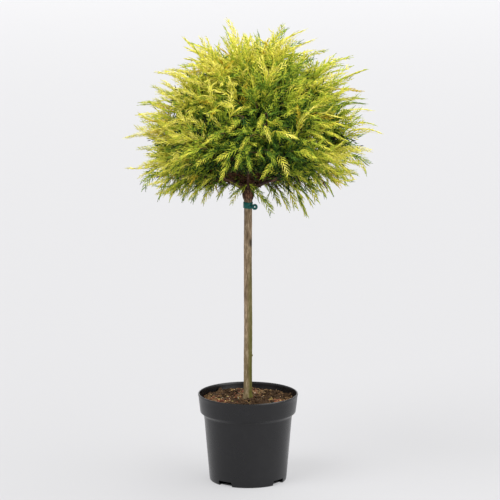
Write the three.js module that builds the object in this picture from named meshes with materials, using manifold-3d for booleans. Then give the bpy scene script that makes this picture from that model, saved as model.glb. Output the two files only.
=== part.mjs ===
// A golden juniper grown as a standard (a "lollipop"): a round nursery pot, its compost, one straight
// stem with a plastic tie, and a feathery crown of boughs and sprays that part from one grafted head.
//
// Lengths are in millimetres and angles in degrees. +Z is up. The origin is the centre of the pot's flat
// underside. The front is -Y, and +X is to the right of somebody who looks at the front.
//
// The crown is grown by rule. Sixteen or so boughs leave the head, each towards an axis of its own. The
// space round the head is shared out between the axes, every point going to the axis that it lies nearest
// to, so each mass of foliage keeps to its own cone of space. A mass is a stem, twigs that arch out
// towards the crown's outline, a domed pad for the dense foliage on them, and pointed sprays that stand
// out of it, slim cores set with needles, all fused into one solid.

import * as THREE from 'three';
import { mergeVertices } from 'three/addons/utils/BufferGeometryUtils.js';
import Module from 'manifold-3d';

const wasm = await Module();
wasm.setup();

// ------------------------------------------------------------------ driving dimensions

const CLEAR = 0.3; // the gap that separate solids keep where they meet
const FINEST = [0.2, 0.1, 0.3, 0.05, 0.4, 0.02]; // what a fusion smooths away, the first that leaves it sound
const GRID = 0.002; // step between the places that a solid's points may take

const POT = {
  height: 204,
  rimRadius: 115, // outside, at the top edge
  rimLip: 3.2, // thickness of the top edge
  bandHeight: 43, // the plain band under the rim
  bandFootRadius: 110,
  stepDrop: 7, // the slope from the band in to the body
  bodyRadius: 101.5,
  baseRadius: 88.5,
  baseChamfer: 2.5,
  wall: 2.4,
  floor: 3,
  sides: 36,
};

const NOTCH = {
  // Drain notches at the foot of the wall.
  count: 4,
  turn: -49, // direction of the first one
  width: 38,
  height: 9.5,
  depth: 13,
};

const COMPOST = {
  level: 191, // height of its surface
  mound: 3, // how far the surface rises towards the stem
  seatRadius: 24, // the level patch that the stem stands on
  footChamfer: 14, // the compost does not fill the corner behind the notches
};

const STEM = {
  footRadius: 12.2, // root flare, at the compost
  flareHeight: 16,
  lowRadius: 9.7,
  highRadius: 9.1, // just under the tie
  headFrom: 652, // where the grafted head starts to swell
  headRadius: 14,
  fork: 674, // height of the point that the boughs part from
  headTop: 690,
  sides: 12,
  stubHeight: 284, // a bud left on the stem
  stubRadius: 2.1,
  stubReach: 3.4,
};

const TIE = {
  middle: 643,
  height: 14,
  thickness: 1.5,
  tongue: 5.5, // height of the flat end that runs from the band to the button
  buttonRadius: 6.7,
  buttonHole: 2.1,
  buttonThickness: 6,
  buttonOut: 15.4, // to the right of the stem's axis
  buttonForward: 11.2, // in front of it
  buttonDrop: 2.8,
};

const CROWN = {
  radius: 287, // half the crown's width
  halfHeight: 256,
  centreUp: 127, // height of the widest level above the fork
  underFrom: 84, // tilt at which the underside starts to tuck in
  underTo: 124,
  underTuck: 0.5, // share of the reach lost by then
  fullerRight: 0.055, // the crown grew a little more to the right
};

// The masses, ring by ring. Tilt is the angle from straight up, and turn the direction of the first mass
// of the ring, counterclockwise from +X.
const RINGS = [
  { name: 'skirt', count: 6, tilt: 98, turn: 30, boughLength: 68, boughRadius: 4.0, colour: 0x6f7f28 },
  { name: 'flank', count: 6, tilt: 68, turn: 0, boughLength: 100, boughRadius: 4.3, colour: 0x94a02e },
  { name: 'shoulder', count: 4, tilt: 36, turn: 15, boughLength: 112, boughRadius: 3.7, colour: 0xaab034 },
  { name: 'crest', count: 1, tilt: 3, turn: 190, boughLength: 118, boughRadius: 4.1, colour: 0xbcbc3c },
];

// Leading shoots that stand out of the crown's outline, each at its own tilt, turn and reach.
const LEADERS = [
  { tilt: 7, turn: 186, reach: 401 },
  { tilt: 12, turn: -14, reach: 396 },
  { tilt: 23, turn: 171, reach: 381 },
  { tilt: 24, turn: 10, reach: 376 },
  { tilt: 37, turn: 188, reach: 346 },
  { tilt: 37, turn: -8, reach: 390 },
  { tilt: 45, turn: 9, reach: 388 },
  { tilt: 52, turn: 172, reach: 316 },
  { tilt: 62, turn: -7, reach: 346 },
  { tilt: 66, turn: 184, reach: 306 },
  { tilt: 80, turn: 174, reach: 284 },
  { tilt: 83, turn: 8, reach: 292 },
  { tilt: 98, turn: 190, reach: 214 },
  { tilt: 113, turn: -34, reach: 178 },
  { tilt: 107, turn: 214, reach: 176 },
];

const AXIS_WANDER = 3; // how far each mass's axis strays from its even place
const LIMB = { boughSides: 5, boughSteps: 3, boughArch: 9, boughTip: 0.68 };
const TWIG = {
  count: 3, // a mass's twigs, besides the end of its own stem
  spread: 21, // how far from the mass's axis the outermost twig aims
  firstFork: 0.1, // where on the stem the outermost twig leaves it
  lastFork: 0.62,
  radius: 1.7,
  sides: 3,
  steps: 2,
  lowReach: 0.93, // share of the crown's outline that a twig's last spray reaches
  highReach: 1.03,
  bow: 0.42, // how long a twig keeps the stem's direction before it bends away
};
const SPRAY = {
  // A slim core with needles that stand out of it and point forward.
  from: 0.74, // where the spray at a twig's end starts, as a share of its reach
  coreRadius: 0.06, // shares of the spray's length
  rootRadius: 0.03,
  needleOut: 0.19,
  needleAhead: 0.22,
  sides: 3,
  endSteps: 3, // the first of these steps is bare
  sideSteps: 2,
  length: 80, // of the side sprays, which stand in a spiral on the pad
  count: 8,
  sink: 16, // how far their roots lie inside the pad
  inner: 0.3, // where the spiral starts and ends, as shares of the pad's lean
  outer: 0.9,
  lean: 44, // how far they lean from straight outwards
  smallest: 0.5, // a spray that fits only below this share of its length is left out
};
const PAD = {
  // The dense inside of a mass, a domed pad of foliage across its space.
  sides: 9,
  margin: 0.9, // how far it keeps from the next mass, in degrees
  widest: 38, // the furthest it leans from the mass's axis, in degrees
  steepest: 112, // and from straight up
  rings: [0.62, 1], // its rings of points, as shares of that lean
  skin: [0.79, 0.8, 0.71], // its outer skin, as shares of the crown's outline, from the middle to the rim
  depth: [34, 26], // its depth in the middle and at the inner ring
  uneven: 0.05,
};
const CELL_MARGIN = 0.5; // a mass stays this far inside its own space
const LIMB_MARGIN = 3; // and this far from the stem and the tie
const GOLDEN_ANGLE = 180 * (3 - Math.sqrt(5));
const SEED = 71;

// ------------------------------------------------------------------ small tools

const UP = new THREE.Vector3(0, 0, 1);
const FORK = new THREE.Vector3(0, 0, STEM.fork);
const radians = THREE.MathUtils.degToRad;
const { lerp, smoothstep } = THREE.MathUtils;

// Seeded dice, so that every build grows the same tree.
class Dice {
  constructor(seed) {
    this.state = (seed * 7919 + 12345) % 4294967296;
    for (let i = 0; i < 4; i++) this.next();
  }
  next() {
    this.state = (this.state * 1664525 + 1013904223) % 4294967296;
    return this.state / 4294967296;
  }
  between(low, high) {
    return low + (high - low) * this.next();
  }
}

function direction(tilt, turn) {
  const [a, b] = [radians(tilt), radians(turn)];
  return new THREE.Vector3(Math.sin(a) * Math.cos(b), Math.sin(a) * Math.sin(b), Math.cos(a));
}

// Two unit vectors square to d and to each other.
function crossAxes(d) {
  const helper = Math.abs(d.z) < 0.9 ? UP : new THREE.Vector3(1, 0, 0);
  const side = new THREE.Vector3().crossVectors(helper, d).normalize();
  return [side, new THREE.Vector3().crossVectors(d, side)];
}

// d leant by an angle, towards the direction that a turn about d gives.
function leant(d, angle, turn) {
  const [side, over] = crossAxes(d);
  const away = side.multiplyScalar(Math.cos(radians(turn))).addScaledVector(over, Math.sin(radians(turn)));
  return d.clone().multiplyScalar(Math.cos(radians(angle))).addScaledVector(away, Math.sin(radians(angle)));
}

// ------------------------------------------------------------------ solids

function geometryOf(points, triangles) {
  const geometry = new THREE.BufferGeometry();
  geometry.setAttribute('position', new THREE.Float32BufferAttribute(points.flatMap((p) => [p.x, p.y, p.z]), 3));
  geometry.setIndex(triangles.flat());
  return geometry;
}

// A closed geometry as a solid, with its points set on a fine grid so that near ones become one.
function solidOf(geometry) {
  const bare = geometry.clone();
  for (const name of ['normal', 'uv']) bare.deleteAttribute(name);
  const { array } = bare.attributes.position;
  for (let i = 0; i < array.length; i++) array[i] = Math.round(array[i] / GRID) * GRID;
  const merged = mergeVertices(bare, GRID / 2);
  return new wasm.Manifold(
    new wasm.Mesh({
      numProp: 3,
      vertProperties: merged.attributes.position.array,
      triVerts: new Uint32Array(merged.index.array),
    }),
  );
}

function largest(solid) {
  return solid.decompose().reduce((a, b) => (b.volume() > a.volume() ? b : a));
}

// Whether every edge of a solid lies between two faces only, with no place where its skin meets itself.
function cleanSkin(solid) {
  const geometry = mergeVertices(geometryFrom(solid).deleteAttribute('normal'), GRID / 2);
  const { array } = geometry.index;
  const faces = new Map();
  for (let i = 0; i < array.length; i++) {
    const [a, b] = [array[i], array[i % 3 === 2 ? i - 2 : i + 1]];
    const key = a < b ? `${a} ${b}` : `${b} ${a}`;
    faces.set(key, (faces.get(key) ?? 0) + 1);
  }
  return [...faces.values()].every((count) => count === 2);
}

// A fused solid as one closed body without slivers: loose scraps are dropped, and sealed hollows filled,
// also the ones that show only once the points are on their grid.
function mainPiece(solid) {
  for (const finest of FINEST) {
    const piece = largest(solidOf(geometryFrom(largest(solid.simplify(finest)))));
    if (cleanSkin(piece)) return piece;
  }
  throw new Error('a fused solid meets itself along an edge');
}

function geometryFrom(solid) {
  const mesh = solid.getMesh();
  const geometry = new THREE.BufferGeometry();
  geometry.setAttribute('position', new THREE.BufferAttribute(new Float32Array(mesh.vertProperties), 3));
  geometry.setIndex(new THREE.BufferAttribute(new Uint32Array(mesh.triVerts), 1));
  geometry.computeVertexNormals();
  return geometry;
}

function node(name, geometry, material) {
  const mesh = new THREE.Mesh(geometry, material);
  mesh.name = name;
  return mesh;
}

// The triangles of a closed skin over steps + 1 rings of points.
function ringTriangles(sides, steps) {
  const triangles = [];
  for (let i = 0; i < steps; i++)
    for (let k = 0; k < sides; k++) {
      const [a, b] = [i * sides + k, i * sides + ((k + 1) % sides)];
      triangles.push([a, b, a + sides], [b, b + sides, a + sides]);
    }
  const last = steps * sides;
  for (let k = 1; k < sides - 1; k++) triangles.push([0, k + 1, k], [last, last + k, last + k + 1]);
  return triangles;
}

// A closed limb with flat ends. Its rings lie on a curve, and radiusAt(t) is its radius at t from 0 to 1.
function limb(curve, radiusAt, sides, steps) {
  const frames = curve.computeFrenetFrames(steps, false);
  const points = [];
  for (let i = 0; i <= steps; i++) {
    const middle = curve.getPointAt(i / steps);
    for (let k = 0; k < sides; k++) {
      const a = (2 * Math.PI * k) / sides;
      points.push(
        middle
          .clone()
          .addScaledVector(frames.normals[i], radiusAt(i / steps) * Math.cos(a))
          .addScaledVector(frames.binormals[i], radiusAt(i / steps) * Math.sin(a)),
      );
    }
  }
  return geometryOf(points, ringTriangles(sides, steps));
}

function lathe(profile, sides) {
  const points = profile.map(([r, z]) => new THREE.Vector2(r, z));
  return new THREE.LatheGeometry(points, sides).rotateX(Math.PI / 2);
}

// ------------------------------------------------------------------ pot and compost

// The outside radius of the pot at height z, above its base.
function potRadius(z) {
  const bandFoot = POT.height - POT.bandHeight;
  const stepFoot = bandFoot - POT.stepDrop;
  if (z >= bandFoot) return lerp(POT.bandFootRadius, POT.rimRadius, (z - bandFoot) / POT.bandHeight);
  if (z >= stepFoot) return lerp(POT.bodyRadius, POT.bandFootRadius, (z - stepFoot) / POT.stepDrop);
  return lerp(POT.baseRadius, POT.bodyRadius, z / stepFoot);
}

function pot() {
  const bandFoot = POT.height - POT.bandHeight;
  const stepFoot = bandFoot - POT.stepDrop;
  const inside = (z) => [potRadius(z) - POT.wall, z];
  const lipFoot = POT.height - 5;
  let solid = solidOf(
    lathe(
      [
        [0, 0],
        [POT.baseRadius - POT.baseChamfer, 0],
        [potRadius(POT.baseChamfer), POT.baseChamfer],
        [POT.bodyRadius, stepFoot],
        [POT.bandFootRadius, bandFoot],
        [POT.rimRadius, POT.height],
        [POT.rimRadius - POT.rimLip, POT.height],
        inside(lipFoot),
        inside(bandFoot),
        inside(stepFoot),
        inside(POT.floor),
        [0, POT.floor],
      ],
      POT.sides,
    ),
  );
  for (let i = 0; i < NOTCH.count; i++) {
    const tool = new THREE.BoxGeometry(2 * NOTCH.depth, NOTCH.width, 2 * NOTCH.height);
    tool.translate(POT.baseRadius, 0, 0).rotateZ(radians(NOTCH.turn + (360 / NOTCH.count) * i));
    solid = solid.subtract(solidOf(tool));
  }
  return geometryFrom(mainPiece(solid));
}

function compost() {
  const bandFoot = POT.height - POT.bandHeight;
  const stepFoot = bandFoot - POT.stepDrop;
  const inside = (z) => [potRadius(z) - POT.wall - CLEAR * 1.5, z];
  const bottom = POT.floor + CLEAR;
  const edge = COMPOST.level - COMPOST.mound;
  return lathe(
    [
      [0, bottom],
      [inside(bottom)[0] - COMPOST.footChamfer, bottom],
      inside(bottom + COMPOST.footChamfer),
      inside(stepFoot),
      inside(bandFoot),
      inside(edge),
      [COMPOST.seatRadius, COMPOST.level],
      [0, COMPOST.level],
    ],
    POT.sides,
  );
}

// ------------------------------------------------------------------ stem and tie

// The stem's radius at height z: a flare at the compost, a slow taper, and the swollen head.
function stemRadius(z) {
  const foot = COMPOST.level;
  const flare = (STEM.footRadius - STEM.lowRadius) * (1 - smoothstep(z, foot, foot + STEM.flareHeight));
  const plain = lerp(STEM.lowRadius, STEM.highRadius, (z - foot) / (STEM.headFrom - foot)) + flare;
  if (z <= STEM.headFrom) return plain;
  if (z <= STEM.fork) return lerp(STEM.highRadius, STEM.headRadius, smoothstep(z, STEM.headFrom, STEM.fork));
  const rise = (z - STEM.fork) / (STEM.headTop + 1 - STEM.fork);
  return STEM.headRadius * Math.sqrt(Math.max(0, 1 - rise * rise));
}

// The stem as a turned profile, grown on all sides by the given amount.
function stemProfile(grow) {
  const foot = COMPOST.level + CLEAR;
  const levels = [
    foot,
    foot + STEM.flareHeight * 0.45,
    foot + STEM.flareHeight,
    lerp(foot, STEM.headFrom, 0.5),
    STEM.headFrom,
    lerp(STEM.headFrom, STEM.fork, 0.5),
    STEM.fork,
    lerp(STEM.fork, STEM.headTop, 0.5),
    lerp(STEM.fork, STEM.headTop, 0.85),
    STEM.headTop,
  ];
  const sides = levels.map((z) => [stemRadius(z) + grow, z]);
  return [[0, foot], ...sides, [0, STEM.headTop + grow]];
}

function stemBud() {
  const z = STEM.stubHeight;
  const start = new THREE.Vector3(stemRadius(z) - 3, 0, z - 2);
  const end = new THREE.Vector3(stemRadius(z) + STEM.stubReach, 0, z + 1.5);
  return limb(new THREE.LineCurve3(start, end), (t) => STEM.stubRadius * (1 - 0.55 * t), 5, 1);
}

function stem() {
  return geometryFrom(mainPiece(solidOf(lathe(stemProfile(0), STEM.sides)).add(solidOf(stemBud()))));
}

// The stem a little larger, as the tool that seats each bough on the head.
const stemSeat = solidOf(lathe(stemProfile(CLEAR * 1.2), STEM.sides));

function tieBand() {
  const [low, high] = [TIE.middle - TIE.height / 2, TIE.middle + TIE.height / 2];
  const inner = stemRadius(low) + 2 * CLEAR;
  const outer = inner + TIE.thickness;
  const band = lathe(
    [
      [inner, low],
      [outer, low],
      [outer, high],
      [inner, high],
      [inner, low],
    ],
    STEM.sides,
  );
  const reach = TIE.buttonOut - TIE.buttonRadius - CLEAR;
  const tongue = new THREE.BoxGeometry(reach, TIE.thickness, TIE.tongue);
  tongue.translate(reach / 2, -TIE.buttonForward, TIE.middle - TIE.buttonDrop);
  return [band, tongue];
}

function tie() {
  const [band, tongue] = tieBand().map(solidOf);
  return geometryFrom(mainPiece(band.add(tongue)));
}

function tieButton() {
  const half = TIE.buttonThickness / 2;
  const ring = lathe(
    [
      [TIE.buttonHole, -half],
      [TIE.buttonRadius - 1, -half],
      [TIE.buttonRadius, -half + 1],
      [TIE.buttonRadius, half - 1],
      [TIE.buttonRadius - 1, half],
      [TIE.buttonHole, half],
      [TIE.buttonHole, -half],
    ],
    12,
  );
  return ring.rotateX(Math.PI / 2).translate(TIE.buttonOut, -TIE.buttonForward, TIE.middle - TIE.buttonDrop);
}

// ------------------------------------------------------------------ the crown's space

// Distance from the fork to the crown's outline along the unit direction d.
function reachAt(d) {
  const flat = CROWN.radius ** 2;
  const tall = CROWN.halfHeight ** 2;
  const a = (d.x * d.x + d.y * d.y) / flat + (d.z * d.z) / tall;
  const b = (-2 * d.z * CROWN.centreUp) / tall;
  const c = CROWN.centreUp ** 2 / tall - 1;
  const full = (-b + Math.sqrt(b * b - 4 * a * c)) / (2 * a);
  const tilt = THREE.MathUtils.radToDeg(Math.acos(d.z));
  const tuck = CROWN.underTuck * smoothstep(tilt, CROWN.underFrom, CROWN.underTo);
  return full * (1 - tuck) * (1 + CROWN.fullerRight * d.x);
}

// Every mass, with its axis.
const MASSES = [];
const axisDice = new Dice(SEED);
for (const ring of RINGS)
  for (let i = 0; i < ring.count; i++) {
    const tilt = ring.tilt + axisDice.between(-AXIS_WANDER, AXIS_WANDER);
    const turn = ring.turn + (360 / ring.count) * i + axisDice.between(-AXIS_WANDER, AXIS_WANDER);
    const number = ring.count > 1 ? `_${i + 1}` : '';
    MASSES.push({ ring, name: `${ring.name}${number}`, seed: SEED + 10 + MASSES.length, tilt, turn });
  }
for (const mass of MASSES) mass.axis = direction(mass.tilt, mass.turn);

// How far the point p lies inside the mass's own cone of space. It is negative outside.
function roomAt(p, mass) {
  const out = p.clone().sub(FORK);
  const rooms = MASSES.filter((other) => other !== mass).map((other) => {
    const wall = mass.axis.clone().sub(other.axis).normalize();
    return out.dot(wall);
  });
  return Math.min(...rooms);
}

function clearOfStem(p) {
  if (p.z > STEM.headTop + LIMB_MARGIN) return true;
  const bar = p.z > TIE.middle - 20 && p.z < TIE.middle + 20 ? TIE.buttonOut + TIE.buttonRadius : STEM.headRadius;
  return Math.hypot(p.x, p.y) > bar + LIMB_MARGIN;
}

function fits(points, mass) {
  return points.every((p) => roomAt(p, mass) > CELL_MARGIN && clearOfStem(p));
}

// ------------------------------------------------------------------ boughs, stems and twigs

// A bough leaves the fork a little steeper than its mass's axis and arches over to it.
function boughCurve(mass) {
  const { boughLength } = mass.ring;
  const arch = LIMB.boughArch * Math.sin(radians(mass.tilt));
  const steep = direction(mass.tilt - arch, mass.turn);
  return new THREE.QuadraticBezierCurve3(
    FORK.clone(),
    FORK.clone().addScaledVector(steep, boughLength * 0.55),
    FORK.clone().addScaledVector(mass.axis, boughLength),
  );
}

function boughRadius(mass, t) {
  return mass.ring.boughRadius * lerp(1, LIMB.boughTip, t);
}

function bough(mass) {
  const whole = solidOf(limb(boughCurve(mass), (t) => boughRadius(mass, t), LIMB.boughSides, LIMB.boughSteps));
  return geometryFrom(mainPiece(whole.subtract(stemSeat)));
}

// Where the ends of a mass's stem and twigs aim: an even spiral about the axis, in which the nearest
// aim gives way to a leading shoot.
function aims(mass, count) {
  const dice = new Dice(mass.seed);
  const list = [];
  for (let i = 0; i <= count; i++) {
    const lean = TWIG.spread * Math.sqrt(i / count);
    const turn = GOLDEN_ANGLE * i + dice.between(-12, 12);
    let aim = leant(mass.axis, lean, turn);
    for (let k = 1; roomAt(FORK.clone().addScaledVector(aim, 250), mass) < 12; k++)
      aim = leant(mass.axis, lean * 0.88 ** k, turn);
    list.push({ aim, reach: reachAt(aim) * dice.between(TWIG.lowReach, TWIG.highReach) });
  }
  for (const leader of LEADERS) {
    const aim = direction(leader.tilt, leader.turn);
    if (roomAt(FORK.clone().add(aim), mass) <= 0) continue;
    const nearest = list.reduce((a, b) => (b.aim.dot(aim) > a.aim.dot(aim) ? b : a));
    nearest.aim = aim;
    nearest.reach = leader.reach;
  }
  return list;
}

// The end of the wood that carries the last spray towards a target.
function woodEnd(target) {
  return FORK.clone().addScaledVector(target.aim, target.reach * SPRAY.from);
}

// The stem of a mass: it carries on from its bough's tip, clear of it, to its own aim.
function stemOfMass(mass, first) {
  const tangent = boughCurve(mass).getTangentAt(1);
  const start = FORK.clone()
    .addScaledVector(mass.axis, mass.ring.boughLength)
    .addScaledVector(tangent, CLEAR);
  const end = woodEnd(first);
  const bend = start.clone().addScaledVector(tangent, start.distanceTo(end) * TWIG.bow);
  return new THREE.QuadraticBezierCurve3(start, bend, end);
}

// A twig: it forks from the stem, keeps its direction for a while, and arches out to its aim.
function twigCurve(stemCurve, target, i, count) {
  const fork = lerp(TWIG.firstFork, TWIG.lastFork, 1 - (i - 1) / (count - 1));
  const start = stemCurve.getPointAt(fork);
  const end = woodEnd(target);
  const bend = start.clone().addScaledVector(stemCurve.getTangentAt(fork), start.distanceTo(end) * TWIG.bow);
  return new THREE.QuadraticBezierCurve3(start, bend, end);
}

// ------------------------------------------------------------------ sprays

// A spray from root along ahead: a slim tapering core, with a needle on each face past its root.
function spray(root, ahead, length, steps, roll) {
  const [side, over] = crossAxes(ahead);
  const points = [];
  const rings = [];
  for (let i = 0; i <= steps; i++) {
    const t = i / steps;
    const radius = length * (i === 0 ? SPRAY.rootRadius : SPRAY.coreRadius * (1.06 - t) * 1.2);
    for (let k = 0; k < SPRAY.sides; k++) {
      const a = (2 * Math.PI * (k + i / 2)) / SPRAY.sides + roll;
      const out = side.clone().multiplyScalar(Math.cos(a)).addScaledVector(over, Math.sin(a));
      points.push(root.clone().addScaledVector(ahead, t * length * 0.86).addScaledVector(out, radius));
      rings.push(out);
    }
  }
  const core = ringTriangles(SPRAY.sides, steps);
  const triangles = [];
  core.forEach((face, i) => {
    const pastRoot = i >= SPRAY.sides * 2 && i < SPRAY.sides * steps * 2;
    const atTip = i === core.length - 1;
    if (!pastRoot && !atTip) return triangles.push(face);
    const tip = face.reduce((sum, v) => sum.addScaledVector(points[v], 1 / 3), new THREE.Vector3());
    const out = face.reduce((sum, v) => sum.add(rings[v]), new THREE.Vector3()).normalize();
    if (atTip) tip.addScaledVector(ahead, length * 0.14);
    else tip.addScaledVector(ahead, length * SPRAY.needleAhead).addScaledVector(out, length * SPRAY.needleOut);
    const apex = points.push(tip) - 1;
    const [a, b, c] = face;
    return triangles.push([a, b, apex], [b, c, apex], [c, a, apex]);
  });
  return { points, geometry: geometryOf(points, triangles) };
}

// A spray in its mass's space, shorter where there is less room, or none.
function fittedSpray(mass, root, ahead, length, steps, roll) {
  for (let share = 1; share >= SPRAY.smallest; share -= 0.1) {
    const made = spray(root, ahead, length * share, steps, roll);
    if (fits(made.points, mass)) return [made.geometry];
  }
  return [];
}

// The spray that carries a twig on to its aim.
function endSpray(mass, curve, target, dice) {
  const end = curve.getPointAt(1);
  const tip = FORK.clone().addScaledVector(target.aim, target.reach);
  const ahead = tip.clone().sub(end).normalize();
  return fittedSpray(mass, end, ahead, end.distanceTo(tip), SPRAY.endSteps, dice.between(0, Math.PI));
}

// The sprays that stand on a mass's pad, in a spiral round its axis, and lean away from it.
function sideSprays(mass, dice) {
  const found = [];
  for (let i = 0; i < SPRAY.count; i++) {
    const turn = GOLDEN_ANGLE * i + dice.between(-15, 15);
    const lean = padLean(mass, turn) * lerp(SPRAY.inner, SPRAY.outer, Math.sqrt(i / (SPRAY.count - 1)));
    const d = leant(mass.axis, lean, turn);
    const share = lerp(PAD.skin[0], PAD.skin[2], (lean / PAD.widest) ** 2);
    const root = FORK.clone().addScaledVector(d, reachAt(d) * share - SPRAY.sink);
    const ahead = leant(d, SPRAY.lean, turn + dice.between(-50, 50));
    const length = SPRAY.length * dice.between(0.8, 1.1);
    found.push(...fittedSpray(mass, root, ahead, length, SPRAY.sideSteps, dice.between(0, Math.PI)));
  }
  return found;
}

// How far a mass's pad leans from the mass's axis towards the given turn.
function padLean(mass, turn) {
  let lean = PAD.widest;
  const free = (angle) => {
    const d = leant(mass.axis, angle, turn);
    return roomAt(FORK.clone().add(d), mass) > 0 && d.z > Math.cos(radians(PAD.steepest));
  };
  while (lean > PAD.margin && !free(lean)) lean -= 0.5;
  return lean - PAD.margin;
}

// The dense inside of a mass: two skins that share their rim, the inner one hollowed towards the fork.
function pad(mass, dice) {
  const points = [];
  const add = (lean, turn, share, depth) => {
    const d = leant(mass.axis, lean, turn);
    points.push(FORK.clone().addScaledVector(d, reachAt(d) * share - depth));
  };
  const turns = Array.from({ length: PAD.sides }, (_, k) => (360 / PAD.sides) * (k + dice.between(-0.2, 0.2)));
  const leans = turns.map((turn) => padLean(mass, turn));
  const [middle, ring, rim] = PAD.skin;
  const uneven = turns.map(() => 1 + dice.between(-PAD.uneven, PAD.uneven));
  add(0, 0, middle, 0);
  turns.forEach((turn, k) => add(leans[k] * PAD.rings[0], turn, ring * uneven[k], 0));
  turns.forEach((turn, k) => add(leans[k] * PAD.rings[1], turn, rim, 0));
  turns.forEach((turn, k) => add(leans[k] * PAD.rings[0], turn, ring * uneven[k], PAD.depth[1]));
  add(0, 0, middle, PAD.depth[0]);
  const n = PAD.sides;
  const triangles = [];
  for (let k = 0; k < n; k++) {
    const [a, b] = [1 + k, 1 + ((k + 1) % n)];
    triangles.push([0, a, b], [3 * n + 1, b + 2 * n, a + 2 * n]);
    for (const from of [0, n]) {
      const [p, q] = [a + from, b + from];
      triangles.push([p, p + n, q + n], [p, q + n, q]);
    }
  }
  return geometryOf(points, triangles);
}

function foliage(mass) {
  const dice = new Dice(mass.seed + 500);
  const targets = aims(mass, TWIG.count);
  const [first, ...rest] = targets;
  const stemCurve = stemOfMass(mass, first);
  const thick = boughRadius(mass, 1);
  const solids = [
    solidOf(limb(stemCurve, (t) => lerp(thick, TWIG.radius, t), TWIG.sides + 1, TWIG.steps)),
    solidOf(pad(mass, dice)),
  ];
  const curves = [stemCurve];
  rest.forEach((target, i) => {
    const curve = twigCurve(stemCurve, target, i + 1, rest.length);
    solids.push(solidOf(limb(curve, (t) => TWIG.radius * lerp(1, 0.62, t), TWIG.sides, TWIG.steps)));
    curves.push(curve);
  });
  curves.forEach((curve, i) => solids.push(...endSpray(mass, curve, targets[i], dice).map(solidOf)));
  solids.push(...sideSprays(mass, dice).map(solidOf));
  return geometryFrom(mainPiece(wasm.Manifold.union(solids)));
}

// ------------------------------------------------------------------ the plant

const potPlastic = new THREE.MeshStandardMaterial({ color: 0x343437, roughness: 0.5 });
const compostBark = new THREE.MeshStandardMaterial({ color: 0x4f402a, roughness: 1 });
const stemBark = new THREE.MeshStandardMaterial({ color: 0x7c6c52, roughness: 0.85 });
const boughBark = new THREE.MeshStandardMaterial({ color: 0x5b4030, roughness: 0.85 });
const tiePlastic = new THREE.MeshStandardMaterial({ color: 0x144f48, roughness: 0.4 });

const plant = new THREE.Group();
plant.add(
  node('pot', pot(), potPlastic),
  node('compost', compost(), compostBark),
  node('stem', stem(), stemBark),
  node('tie_band', tie(), tiePlastic),
  node('tie_button', tieButton(), tiePlastic),
);
for (const mass of MASSES) {
  const leaves = new THREE.MeshStandardMaterial({ color: mass.ring.colour, roughness: 0.8 });
  plant.add(node(`bough_${mass.name}`, bough(mass), boughBark));
  plant.add(node(`foliage_${mass.name}`, foliage(mass), leaves));
}

export default plant;
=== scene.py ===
"""The looks of a golden juniper standard in its nursery pot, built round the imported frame.

The crown is grown by the same rule as the solids: boughs leave one grafted head, each for a space of its
own, and stems and twigs carry on from them. Here the rule is carried on to finer twigs and to some six
thousand sprays. Lengths in the rule are millimetres, and the meshes are made in metres.
"""

import math

import bpy
import numpy as np
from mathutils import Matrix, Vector, noise


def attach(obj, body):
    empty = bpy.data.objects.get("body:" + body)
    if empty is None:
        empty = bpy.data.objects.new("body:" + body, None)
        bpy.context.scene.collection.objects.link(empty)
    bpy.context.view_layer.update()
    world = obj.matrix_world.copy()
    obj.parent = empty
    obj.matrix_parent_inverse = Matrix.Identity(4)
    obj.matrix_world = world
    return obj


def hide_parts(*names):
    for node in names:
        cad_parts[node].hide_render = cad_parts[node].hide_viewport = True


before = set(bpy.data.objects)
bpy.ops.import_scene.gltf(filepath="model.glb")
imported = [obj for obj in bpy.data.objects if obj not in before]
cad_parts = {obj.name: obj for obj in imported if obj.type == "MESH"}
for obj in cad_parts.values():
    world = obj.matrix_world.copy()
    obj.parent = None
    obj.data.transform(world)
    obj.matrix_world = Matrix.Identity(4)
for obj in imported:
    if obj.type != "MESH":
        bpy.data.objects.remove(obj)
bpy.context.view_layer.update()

MM = 0.001

# ---- sizes in mm, the source's but for the notches and the compost's foot

POT = dict(
    height=204, rim=115, lip=3.2, band=43, band_foot=110, step=7, body=101.5, base=88.5, wall=2.4, floor=3
)  # fmt: skip
NOTCH = dict(count=4, turn=-37, width=38, height=11.5, depth=13)  # a little higher than in the source
COMPOST = dict(level=191, edge=109.5, bare=15)  # bare: the radius round the stem without loose pieces
POT_INSIDE = 110  # radius at the height of the compost
COMPOST_FOOT = [(107.2, 161), (98.6, 153), (98.0, 146), (86.2, 26), (66, 3.4)]  # radius and height
STEM = dict(foot=12.2, flare=16, low=9.7, high=9.1, head_from=652, head=14, fork=674, head_top=690, bud=292)
TIE = dict(middle=643, height=14, thick=1.5, button=6.7, hole=2.1, deep=6, out=15.4, forward=11.2, drop=2.8)
CROWN = dict(radius=287, half=256, up=127, under_from=84, under_to=124, tuck=0.5, right=0.055)
RINGS = [
    dict(name="skirt", count=6, tilt=98, turn=30, length=68, radius=4.0),
    dict(name="flank", count=6, tilt=68, turn=0, length=100, radius=4.3),
    dict(name="shoulder", count=4, tilt=36, turn=15, length=112, radius=3.7),
    dict(name="crest", count=1, tilt=3, turn=190, length=118, radius=4.1),
]
LEADERS = [
    (7, 186, 397), (12, -14, 394), (23, 171, 381), (24, 10, 376), (37, 188, 346), (37, -8, 390), (45, 9, 388),
    (52, 172, 316), (62, -7, 346), (66, 184, 306), (80, 174, 284), (83, 8, 292), (98, 190, 214),
    (113, -34, 178), (107, 214, 176),
]  # fmt: skip
AXIS_WANDER = 3
BOUGH_ARCH = 9
BOUGH_TIP = 0.68
TWIG = dict(count=3, spread=21, first=0.1, last=0.62, radius=1.7, low=0.93, high=1.03, bow=0.42)
FINE_RADIUS = 1.35
WOOD_END = 0.74  # where a twig's last spray starts, as a share of its reach
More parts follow.
